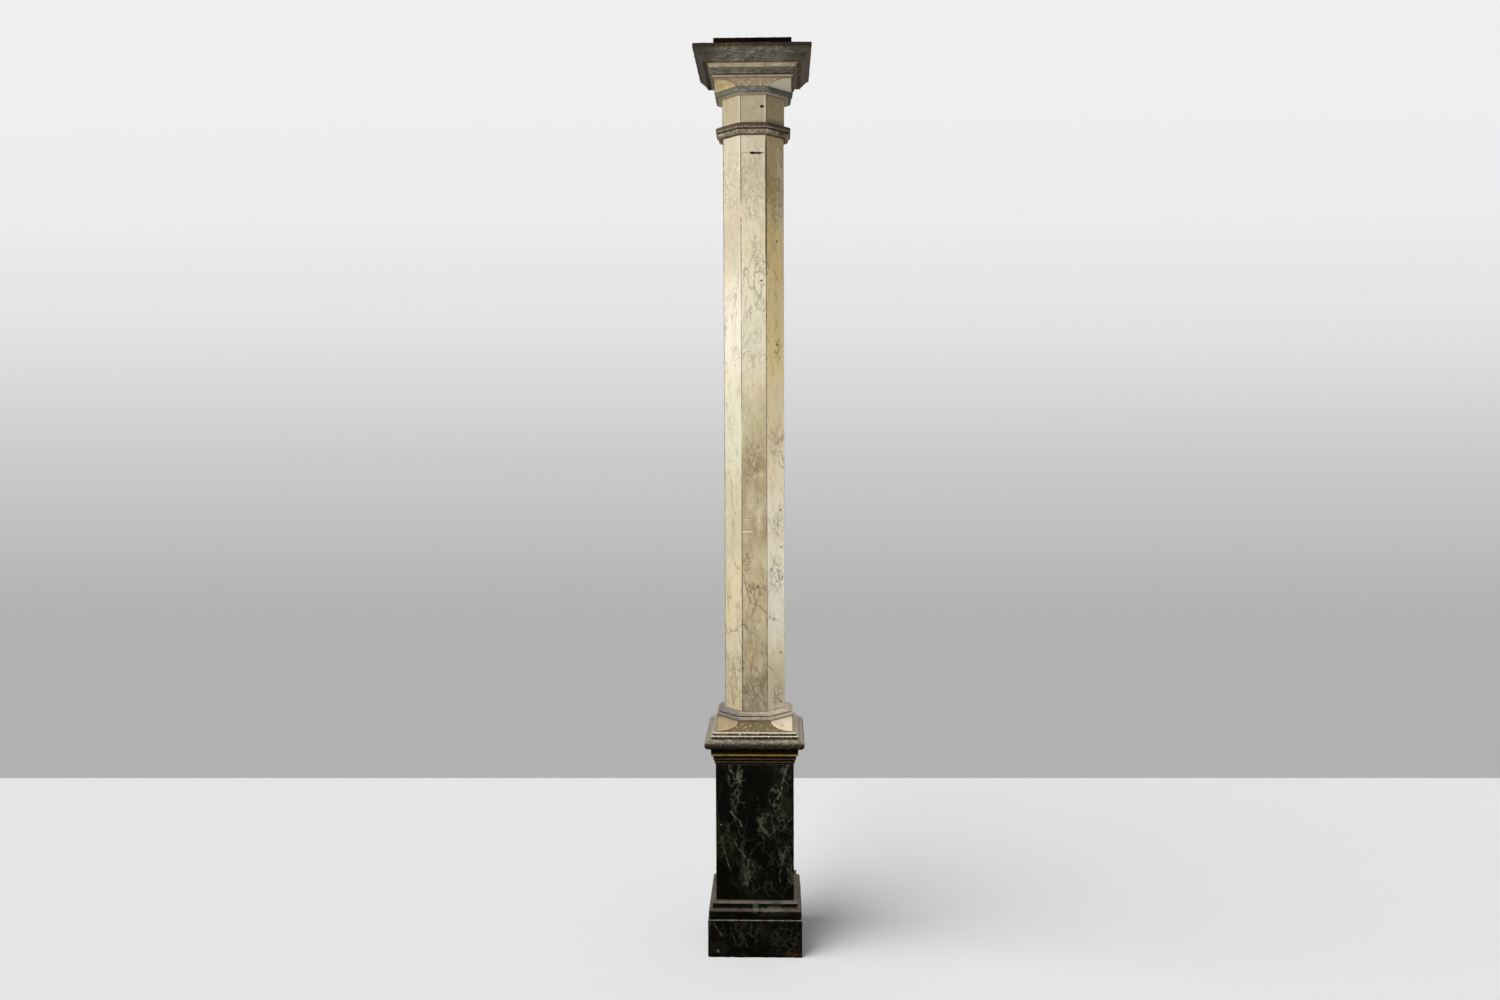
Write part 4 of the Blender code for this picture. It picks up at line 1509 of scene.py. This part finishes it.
        # Painted shade in the mouth of the crack.
        crack = marks(Fleck, {front: ((0.0, 2.3409, 0.0115, 1.0, 0.46), (0.018, 2.3405, 0.01, 1.0, 0.46))})
        scratches = marks(Stroke, {front: ((((-0.034, 1.244), (-0.004, 1.2432)), 0.0022, 0.7),
                                           (((-0.034, 1.278), (-0.018, 1.279)), 0.0018, 0.4))})
        return CreamMarble("shaft_paint", half, strokes=strokes, clusters=clusters, tints_and_light=tints_and_light,
                           flecks=(*(Fleck(*dot, 0.0044, 0.92) for dot in dots), *crack),
                           scratches=scratches, stains=(Fleck(front, -0.004, 0.88, 0.022, 0.45, 2.2),))

    def build_neck_ring(self) -> None:
        """The ring where the shaft meets the necking."""
        foot, head, half = self.limits("neck_ring")
        shaft, necking = self.limits("shaft")[2], self.limits("necking")[2]
        outline = Outline(shaft + self.collar_margin, foot)
        outline.rise(self.seat)
        outline.level_quarter(half - self.bead_set_back, self.ovolo)
        outline.rise(self.bead_height)
        outline.step(outline.half - self.groove_depth)
        outline.rise(self.groove_height)
        outline.step(half)
        dark_above = outline.level + 0.0022
        outline.rise(self.fascia)
        outline.upright_quarter(necking + self.collar_margin, head - outline.level)
        piece = self.run("neck_ring", Section.OCTAGON, outline, Wear(chips=0.001))
        # Painted shade on the ring's upward faces, and a little on its downward ones.
        paint = GreyMarble("neck_ring_paint", ground=(0.19, 0.145, 0.094), dark=(0.022, 0.0115, 0.0062),
                           light=(0.44, 0.365, 0.255), tint=(0.14, 0.11, 0.082), shade_under=0.1,
                           rubbed=(0.56, 0.48, 0.36), stipple=0.95, streak=0.5, groove=0.98, shoulder=1.0,
                           pale_above=dark_above, pale=(0.066, 0.037, 0.022))
        self.place(piece, "neck_ring", paint.mixed())


@dataclass
class Capital(SubAssembly):
    """Necking, ring, block, bed mouldings, crown and the block on top."""

    ring_seat: float = 0.002
    ring_ovolo: float = 0.0065
    block_lip: float = 0.002
    bed_seat: float = 0.0015
    bed_bead_projection: float = 0.0015
    bed_bead: float = 0.0032
    bed_quirk: float = 0.0025
    cove_quirk_height: float = 0.0024
    cove_quirk_depth: float = 0.002
    cove_foot: float = 0.1225
    crown_foot: float = 0.142
    crown_lip: float = 0.0015
    crown_rise: float = 0.03
    crown_sag: float = 0.0016
    nail_across: float = 0.0268
    nail_up: float = 2.473
    nail_radius: float = 0.0034
    nail_depth: float = 0.007
    collar_margin: float = 0.0008

    def build(self) -> None:
        """Make all seven pieces."""
        self.build_necking()
        self.build_ring()
        self.build_block()
        self.build_bed_fascia()
        self.build_bed_cove()
        self.build_crown()
        self.build_top_block()

    def build_necking(self) -> None:
        """The short octagonal necking, with its nail hole."""
        piece, half = self.run_plain("necking", Section.OCTAGON, Wear(wave=0.0005))
        Bench.clear()
        bpy.ops.mesh.primitive_cylinder_add(vertices=20, radius=self.nail_radius, depth=2 * self.nail_depth,
                                            location=(self.nail_across, -half, self.nail_up),
                                            rotation=(math.pi / 2, 0, 0), scale=(1.4, 0.8, 1))
        Bench.cut_away(piece, Bench.added("nail_hole_cutter"))
        mark_cuts(piece, half)
        Bench.smooth(piece)
        # Painted shade in the nail hole.
        hole = Fleck(Facing.FRONT, self.nail_across, self.nail_up, 0.008, 1.0, 0.6)
        # These tints and the ground, warm and pale colours below are darker than the shaft's: painted shadow
        # of the crown.
        tints_and_light = (Tint(Facing.RIGHT_FRONT, (0.385, 0.27, 0.115), 2.4, 2.6, 0.9),
                 Tint(Facing.FRONT, (0.34, 0.295, 0.175), 2.4, 2.6, 0.72),
                 Tint(Facing.LEFT_FRONT, (0.42, 0.35, 0.22), 2.4, 2.6, 0.45))
        paint = CreamMarble("necking_paint", half, ground=(0.49, 0.42, 0.285), warm=(0.48, 0.385, 0.235),
                            pale=(0.56, 0.52, 0.4), tints_and_light=tints_and_light, flecks=(hole,), veining=0.35)
        self.place(piece, "necking", paint.mixed())

    def build_ring(self) -> None:
        """The ring under the block."""
        foot, head, half = self.limits("capital_ring")
        outline = Outline(self.limits("necking")[2] + self.collar_margin, foot)
        outline.rise(self.ring_seat)
        outline.level_quarter(half, self.ring_ovolo)
        outline.rise_to(head)
        piece = self.run("capital_ring", Section.OCTAGON, outline, Wear(chips=0.0009))
        paint = GreyMarble("capital_ring_paint", left=(0.115, 0.12, 0.085), right=(0.085, 0.095, 0.068),
                           ground=(0.12, 0.11, 0.092), dark=(0.04, 0.044, 0.034),
                           light=(0.3, 0.275, 0.225), tint=(0.125, 0.115, 0.14), pale_below=foot + 0.0034,
                           pale=(0.4, 0.32, 0.205), stipple=0.85, streak=0.5)
        self.place(piece, "capital_ring", paint.mixed())

    def build_block(self) -> None:
        """The block that turns the octagon back into a square."""
        piece = CornerBlock("capital_block", square_at_head=True, lip=self.block_lip).make()
        paint = BlockPaint("capital_block_paint", left=(0.38, 0.275, 0.13), right=(0.64, 0.57, 0.42),
                           pale_cloud=(0.6, 0.53, 0.34), dark_cloud=(0.32, 0.215, 0.095),
                           flat=(0.29, 0.225, 0.13))
        self.place(piece, "capital_block", paint.mixed())

    def build_bed_fascia(self) -> None:
        """A small bead, a groove and a plain fascia."""
        foot, head, half = self.limits("bed_fascia")
        outline = Outline(self.limits("capital_block")[2] + self.bed_bead_projection, foot)
        outline.rise(self.bed_seat)
        outline.bead(self.bed_bead)
        outline.rise(self.bed_quirk)
        outline.step(half)
        outline.rise_to(head)
        piece = self.run("bed_fascia", Section.SQUARE, outline, Wear(chips=0.0008))
        paint = GreyMarble("bed_fascia_paint", ground=(0.084, 0.072, 0.054), dark=(0.024, 0.02, 0.017),
                           light=(0.22, 0.195, 0.155), tint=(0.078, 0.072, 0.084), stipple=0.85, streak=0.5,
                           pale_below=foot + self.bed_seat + 2 * self.bed_bead, pale=(0.36, 0.29, 0.19),
                           turned=(0.085, 0.07, 0.05))
        self.place(piece, "bed_fascia", paint.mixed())

    def build_bed_cove(self) -> None:
        """The hollow moulding under the crown."""
        foot, head, half = self.limits("bed_cove")
        outline = Outline(self.cove_foot - self.cove_quirk_depth, foot)
        outline.rise(self.cove_quirk_height)
        outline.step(self.cove_foot)
        outline.upright_quarter(half, head - outline.level)
        piece = self.run("bed_cove", Section.SQUARE, outline, Wear(chips=0.0005))
        paint = GreyMarble("bed_cove_paint", ground=(0.3, 0.245, 0.155), dark=(0.13, 0.1, 0.06),
                           light=(0.44, 0.375, 0.26), tint=(0.25, 0.215, 0.155), stipple=0.6,
                           turned=(0.125, 0.1, 0.068))
        self.place(piece, "bed_cove", paint.mixed())

    def build_crown(self) -> None:
        """The splayed crown with its worn fillet."""
        foot, head, half = self.limits("crown")
        outline = Outline(self.crown_foot, foot)
        outline.rise(self.crown_lip)
        outline.slope(half, self.crown_rise, self.crown_sag)
        outline.rise_to(head)
        piece = self.run("crown", Section.SQUARE, outline, Wear(chips=0.0018, chip_size=0.014))
        self.place(piece, "crown", CrownPaint("crown_paint", half).mixed())

    def build_top_block(self) -> None:
        """The plain block on top."""
        piece, _ = self.run_plain("top_block", Section.SQUARE, Wear(chips=0.0014))
        self.place(piece, "top_block", BareWood("top_block_stain").mixed())


@dataclass(frozen=True)
class CrownPaint:
    """Grey-green stippled paint on the splay, rubbed to brown wood along the head."""

    name: str
    half: float
    ground: Colour = (0.071, 0.063, 0.043)
    wood: Colour = (0.046, 0.03, 0.016)
    red: Colour = (0.125, 0.052, 0.024)
    fillet: Colour = (0.015, 0.011, 0.008)
    rubbed: Colour = (0.24, 0.2, 0.15)
    plaster: Colour = (0.72, 0.68, 0.62)
    corner: Colour = (0.016, 0.015, 0.012)
    umber: Colour = (0.026, 0.019, 0.008)
    left: Colour = (0.052, 0.045, 0.036)
    right: Colour = (0.165, 0.13, 0.088)

    def mixed(self) -> Material:
        """Mix the paint."""
        recipe = Recipe(self.name, self.ground)
        fade, noise, product = recipe.fade, recipe.noise, recipe.product
        coat = recipe.coat
        undercoat = GreyMarble(self.name, ground=self.ground, dark=(0.03, 0.028, 0.018), streak=0.6,
                               light=(0.2, 0.19, 0.15), tint=(0.125, 0.105, 0.076), stipple=0.75)
        streaks = undercoat.ground_coat(recipe)
        rub = noise(recipe.stretched((0.8, 0.8, 1.4)), 55.0, 5.0, 0.65)
        fillet = fade(recipe.up, 2.616, 2.619)
        front = fade(recipe.deep, -self.half + 0.012, -self.half + 0.004)
        middle = fade(recipe.math("ABSOLUTE", recipe.math("ADD", recipe.across, 0.008)), 0.125, 0.085)
        flaked = noise(recipe.stretched((0.7, 0.7, 1.0)), 95.0, 4.0, 0.7)
        bare = product(fillet, fade(flaked, 0.4, 0.56),
                       recipe.most(product(front, middle, 0.95), fade(rub, 0.6, 0.7)))
        wood = recipe.mix(fade(rub, 0.46, 0.6), self.wood, self.red)
        coat(self.fillet, fillet, 0.9)
        coat(wood, bare)
        coat(self.rubbed, fade(recipe.kept("proud"), 0.66, 0.95), fade(rub, 0.45, 0.62), 0.6)
        chip = recipe.vector("DISTANCE", recipe.place, (0.0955, -0.156, 2.593))
        coat(self.plaster, fade(chip, 0.005, 0.003))
        coat(self.corner, fade(recipe.across, -0.115, -0.16), fade(recipe.up, 2.595, 2.622), 0.7)
        ends = fade(recipe.math("ABSOLUTE", recipe.across), 0.07, 0.13)
        coat(self.umber, ends, 0.6)
        # The left return is laid darker and the right return lighter than the front, in patches.
        patches = fade(rub, 0.25, 0.6)
        left, right = recipe.returns()
        below = fade(recipe.up, 2.622, 2.612)
        coat(self.left, left, below, 0.75, patches)
        coat(self.right, right, below, 0.85, patches)
        rough = recipe.math("MULTIPLY_ADD", streaks, 0.25, 0.55)
        normal = recipe.bump(noise(recipe.place, 420.0, 2.0, 0.6), 0.00022)
        return recipe.finish(rough, normal, 0.22)


@dataclass(frozen=True)
class BlockPaint:
    """A speckled brown flat, with the hollowed corners in lighter, warmer marble."""

    name: str
    left: Colour
    right: Colour
    pale_cloud: Colour
    dark_cloud: Colour
    flat: Colour = (0.27, 0.21, 0.118)
    speckle: Colour = (0.085, 0.056, 0.028)
    pale: Colour = (0.52, 0.45, 0.31)
    outline: Colour = (0.085, 0.05, 0.028)
    rubbed: Colour = (0.62, 0.54, 0.4)

    def mixed(self) -> Material:
        """Mix the paint."""
        recipe = Recipe(self.name, self.flat)
        fade, noise, product = recipe.fade, recipe.noise, recipe.product
        coat, kept = recipe.coat, recipe.kept
        stipple = noise(recipe.place, 115.0, 5.0, 0.75)
        clouds = noise(recipe.place, 30.0, 4.0, 0.6)
        coat(self.pale, fade(stipple, 0.52, 0.66))
        coat(self.speckle, fade(stipple, 0.46, 0.32), 0.8)
        side = fade(recipe.across, -0.01, 0.01)
        hollow = recipe.mix(side, self.left, self.right)
        hollow = recipe.mix(product(fade(clouds, 0.5, 0.68), 0.6), hollow, self.pale_cloud)
        hollow = recipe.mix(product(fade(clouds, 0.46, 0.3), 0.5), hollow, self.dark_cloud)
        coat(hollow, fade(kept("hollow"), 0.45, 0.55))
        rub = noise(recipe.place, 70.0, 4.0, 0.65)
        flat = fade(kept("hollow"), 0.55, 0.35)
        coat(self.outline, fade(kept("proud"), 0.62, 0.84), flat, fade(rub, 0.34, 0.52), 0.75)
        coat(self.rubbed, fade(kept("proud"), 0.9, 0.98), fade(rub, 0.5, 0.62), 0.4)
        rough = recipe.math("MULTIPLY_ADD", clouds, 0.2, 0.4)
        normal = recipe.bump(stipple, 0.0002)
        return recipe.finish(rough, normal, 0.4)


@dataclass
class CornerBlock:
    """A square block whose corners are hollowed to an octagon at one end."""

    node: str
    square_at_head: bool
    lip: float
    steps: int = 96
    pitch: float = 0.006
    row_pitch: float = 0.0022
    round_over: float = 0.0006
    spot_pitch: float = 0.002
    edge_reach: float = 0.006
    hollow_edge: float = 0.0015

    def make(self) -> Object:
        """Saw the block, hollow its corners and divide its faces evenly.

        Returns:
            The piece, with its edges and hollows marked for the paint.
        """
        low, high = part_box(self.node)
        half, height = high.x, high.z - low.z
        Bench.clear()
        bpy.ops.mesh.primitive_cube_add(size=1, location=(0, 0, (low.z + high.z) / 2),
                                        scale=(2 * half, 2 * half, height))
        block = Bench.added(self.node + "_piece")
        for quarter in range(4):
            self.hollow_corner(block, math.pi / 4 + quarter * math.pi / 2, half, height,
                               low.z if self.square_at_head else high.z)
        sharp = self.sharp_edges(block)
        Bench.finish_with(block, "BEVEL", width=self.round_over, segments=2, limit_method="ANGLE",
                          angle_limit=SHARP_ANGLE, use_clamp_overlap=True)
        self.divide(block, half)
        self.mark(block, sharp, half)
        Bench.smooth(block)
        return block

    def hollow_corner(self, block: Object, turn: float, half: float, height: float,
                      level: float) -> None:
        """Cut one corner's hollow with an elliptic roller.

        Args:
            block: The block.
            turn: The corner's angle round the axis.
            half: The block's half width.
            height: Its height.
            level: The height where the hollow is deepest.
        """
        corner = half * math.sqrt(2)
        Bench.clear()
        bpy.ops.mesh.primitive_cylinder_add(vertices=self.steps, radius=1, depth=2 * half,
                                            rotation=(math.pi / 2, 0, 0))
        roller = Bench.added("roller")
        roller.data.transform(Matrix.Diagonal((corner - half, 1, height - self.lip, 1)))
        roller.data.transform(Matrix.Translation((corner, 0, level)))
        roller.data.transform(Matrix.Rotation(turn, 4, "Z"))
        Bench.cut_away(block, roller)

    def sharp_edges(self, block: Object) -> kdtree.KDTree:
        """Points along the block's sharp edges, ready to be looked up by distance."""
        shape = bmesh.new()
        shape.from_mesh(block.data)
        spots = []
        for edge in shape.edges:
            if len(edge.link_faces) == 2 and edge.calc_face_angle() > SHARP_ANGLE:
                first, second = (vertex.co for vertex in edge.verts)
                count = max(1, round(edge.calc_length() / self.spot_pitch))
                spots += [first.lerp(second, index / count) for index in range(count + 1)]
        shape.free()
        tree = kdtree.KDTree(len(spots))
        for index, spot in enumerate(spots):
            tree.insert(spot, index)
        tree.balance()
        return tree

    def divide(self, block: Object, half: float) -> None:
        """Cut the block's faces by evenly spaced planes, so that wear can be kept on its points."""
        Bench.take(block)
        bpy.ops.object.mode_set(mode="EDIT")
        low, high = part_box(self.node)
        count, rows = round(2 * half / self.pitch), round((high.z - low.z) / self.row_pitch)
        cuts = [(axis, -half, 2 * half / count, count) for axis in ((1, 0, 0), (0, 1, 0))]
        cuts.append(((0, 0, 1), low.z, (high.z - low.z) / rows, rows))
        for axis, start, step, number in cuts:
            for index in range(1, number):
                place = start + step * index
                bpy.ops.mesh.select_all(action="SELECT")
                bpy.ops.mesh.bisect(plane_co=tuple(place * part for part in axis), plane_no=axis)
        bpy.ops.object.mode_set(mode="OBJECT")

    def mark(self, block: Object, sharp: kdtree.KDTree, half: float) -> None:
        """Store the nearness of edges, and where the corners' hollows are."""
        vertices = block.data.vertices
        near = np.array([sharp.find(vertex.co)[2] for vertex in vertices])
        store(block, "proud", np.clip(1 - near / self.edge_reach, 0, 1))
        store(block, "sunk", np.zeros(len(vertices)))
        depth = np.array([half - max(abs(vertex.co.x), abs(vertex.co.y)) for vertex in vertices])
        store(block, "hollow", np.clip(depth / self.hollow_edge, 0, 1))


@dataclass
class Studio:
    """Camera, floor, backdrop and lights."""

    image_width: int = 1500
    image_height: int = 1000
    focal_pixels: float = 1122.6
    sensor: float = 36.0
    camera_place: Place = (0.0716, -3.36, 1.5748)
    heading: float = 1.45
    tilt: float = -2.2
    roll: float = -0.2
    frame_drop: float = 38.4
    horizon_row: float = 778.0

    def camera_turn(self) -> Matrix:
        """The camera's rotation, from its heading, tilt and roll."""
        heading, tilt = math.radians(self.heading), math.radians(self.tilt)
        ahead = Vector((-math.sin(heading) * math.cos(tilt), math.cos(heading) * math.cos(tilt),
                        math.sin(tilt)))
        right = Vector((math.cos(heading), math.sin(heading), 0))
        up = right.cross(ahead)
        turn = Matrix((right, up, -ahead)).transposed()
        return turn @ Matrix.Rotation(math.radians(self.roll), 3, "Z")

    def floor_point(self, column: float, row: float) -> Vector:
        """The point of the floor that is seen at a place in the image."""
        aim = Vector(((column - self.image_width / 2) / self.focal_pixels,
                      (self.image_height / 2 - self.frame_drop - row) / self.focal_pixels, -1))
        ray = self.camera_turn() @ aim
        start = Vector(self.camera_place)
        return start + ray * (-start.z / ray.z)

    def build(self) -> None:
        """Set up the whole studio."""
        self.build_camera()
        floor = self.build_floor()
        self.build_backdrop()
        self.build_lights(floor)
        self.build_world()
        bpy.context.scene.view_settings.view_transform = "Standard"
        LOG.info("studio: camera, floor, backdrop and lights")

    def build_camera(self) -> None:
        """The camera at the photograph's viewing angle."""
        data = bpy.data.cameras.new("camera")
        data.sensor_width = self.sensor
        data.lens = self.focal_pixels * self.sensor / self.image_width
        data.shift_y = -self.frame_drop / self.image_width
        data.clip_end = 200
        camera = bpy.data.objects.new("camera", data)
        camera.matrix_world = Matrix.Translation(self.camera_place) @ self.camera_turn().to_4x4()
        bpy.context.scene.collection.objects.link(camera)
        bpy.context.scene.camera = camera

    def build_floor(self) -> Object:
        """A plain pale slab whose far edge is level in the image."""
        left = self.floor_point(0, self.horizon_row)
        right = self.floor_point(self.image_width, self.horizon_row)
        along = (right - left).normalized()
        reach, depth, thick = 9.0, 8.0, 0.05
        Bench.clear()
        bpy.ops.mesh.primitive_cube_add(size=1, location=(0, -depth / 2, -thick / 2),
                                        scale=(2 * reach, depth, thick))
        floor = Bench.added("floor")
        turn = Matrix.Rotation(math.atan2(along.y, along.x), 4, "Z")
        floor.data.transform(Matrix.Translation((left + right) / 2) @ turn)
        recipe = Recipe("floor_paint", (0.8, 0.8, 0.8))
        recipe.set_shader({"Base Color": recipe.colour, "Roughness": 0.9, "Specular IOR Level": 0.0,
                           "Emission Color": (1.0, 1.0, 1.0), "Emission Strength": 0.06})
        floor.data.materials.append(recipe.material)
        floor.visible_diffuse = False
        floor.visible_glossy = False
        return floor

    def build_backdrop(self) -> None:
        """A far room whose walls go from grey below to white above, seen only by the camera."""
        Bench.clear()
        bpy.ops.mesh.primitive_cube_add(size=40, location=(0, 0, 0))
        room = Bench.added("backdrop")
        recipe = Recipe("backdrop_glow", (0.0, 0.0, 0.0))
        ramp = recipe.tree.nodes.new("ShaderNodeValToRGB")
        low, high = -6.0, 8.0
        height = recipe.add("ShaderNodeMapRange", {"Value": recipe.up, "From Min": low, "From Max": high})
        recipe.feed(ramp.inputs[0], height)
        tones = ((-2.6, 0.448), (-1.6, 0.485), (0.9, 0.61), (3.4, 0.768), (5.9, 0.85), (7.0, 0.863))
        ramp.color_ramp.elements[0].position = 0.0
        ramp.color_ramp.elements[0].color = (0.445, 0.44, 0.445, 1)
        ramp.color_ramp.elements[1].position = 1.0
        ramp.color_ramp.elements[1].color = (0.863, 0.863, 0.863, 1)
        for height, tone in tones:
            stop = ramp.color_ramp.elements.new((height - low) / (high - low))
            stop.color = (tone, tone * 0.99, tone, 1)
        recipe.set_shader({"Base Color": recipe.colour, "Specular IOR Level": 0.0,
                           "Emission Color": ramp.outputs[0], "Emission Strength": 1.0})
        room.data.materials.append(recipe.material)
        room.visible_diffuse = False
        room.visible_glossy = False
        room.visible_transmission = False
        room.visible_shadow = False

    def build_world(self) -> None:
        """A dim sky that is brighter above, as the soft fill."""
        world = bpy.data.worlds.new("fill")
        world.use_nodes = True
        nodes, links = world.node_tree.nodes, world.node_tree.links
        coordinates = nodes.new("ShaderNodeTexCoord")
        split = nodes.new("ShaderNodeSeparateXYZ")
        ramp = nodes.new("ShaderNodeMapRange")
        links.new(coordinates.outputs["Generated"], split.inputs[0])
        links.new(split.outputs[2], ramp.inputs["Value"])
        for name, value in (("From Min", -0.8), ("From Max", 0.9), ("To Min", 0.02), ("To Max", 0.26)):
            ramp.inputs[name].default_value = value
        links.new(ramp.outputs[0], nodes["Background"].inputs["Strength"])
        nodes["Background"].inputs["Color"].default_value = (1, 1, 1, 1)
        bpy.context.scene.world = world

    def build_lights(self, floor: Object) -> None:
        """A key from the left, fills from the right, two soft lights behind and one for the floor."""
        self.soft_light("key_left", (-1.42, -1.5, 1.95), (0, 0, 1.75), 0.9, 52.0, floor)
        self.soft_light("low_right", (1.0, -0.62, 1.22), (0, 0, 1.15), 0.5, 10.5, floor)
        self.soft_light("high_right", (1.0, -0.62, 2.05), (0, 0, 2.05), 0.5, 1.7, floor)
        for name, place, power in (("back_left", (-1.6, 2.9, 2.2), 55.0),
                                   ("back_right", (1.6, 2.9, 2.0), 45.0)):
            self.soft_light(name, place, (0, 0, 1.3), 1.6, power, floor).visible_glossy = False
        glint = self.soft_light("glint_left", (-2.0, 0.1, 1.99), (0, 0, 1.83), 0.45, 7.0, floor)
        glint.visible_diffuse = False
        data = bpy.data.lights.new("floor_light", "SUN")
        data.energy = 2.73
        data.angle = math.radians(50)
        lamp = bpy.data.objects.new("floor_light", data)
        lamp.rotation_euler = Vector((0.52, 0.34, -0.785)).to_track_quat("-Z", "Y").to_euler()
        bpy.context.scene.collection.objects.link(lamp)
        group = bpy.data.collections.new("floor_only")
        group.objects.link(floor)
        lamp.light_linking.receiver_collection = group

    def soft_light(self, name: str, place: Place, aim: Place, size: float, power: float,
                   floor: Object) -> Object:
        """Add a square soft light that leaves the floor to its own light.

        Args:
            name: The light's name.
            place: Where it stands.
            aim: What it points at.
            size: Its side.
            power: Its power.
            floor: The floor, which it doesn't light.

        Returns:
            The light.
        """
        data = bpy.data.lights.new(name, "AREA")
        data.size = size
        data.energy = power
        lamp = bpy.data.objects.new(name, data)
        lamp.location = place
        lamp.rotation_euler = (Vector(aim) - Vector(place)).to_track_quat("-Z", "Y").to_euler()
        lamp.visible_camera = False
        bpy.context.scene.collection.objects.link(lamp)
        group = bpy.data.collections.new(name + "_receivers")
        group.objects.link(floor)
        group.collection_objects[0].light_linking.link_state = "EXCLUDE"
        lamp.light_linking.receiver_collection = group
        return lamp


def main() -> None:
    """Build the studio and the column from the floor up."""
    logging.basicConfig(level=logging.INFO, format="%(name)s: %(message)s")
    Studio().build()
    for part in (Pedestal(), Base(), Shaft(), Capital()):
        part.build()
        LOG.info("%s: %d pieces", type(part).__name__, len(part.pieces))


if __name__ == "__main__":
    main()
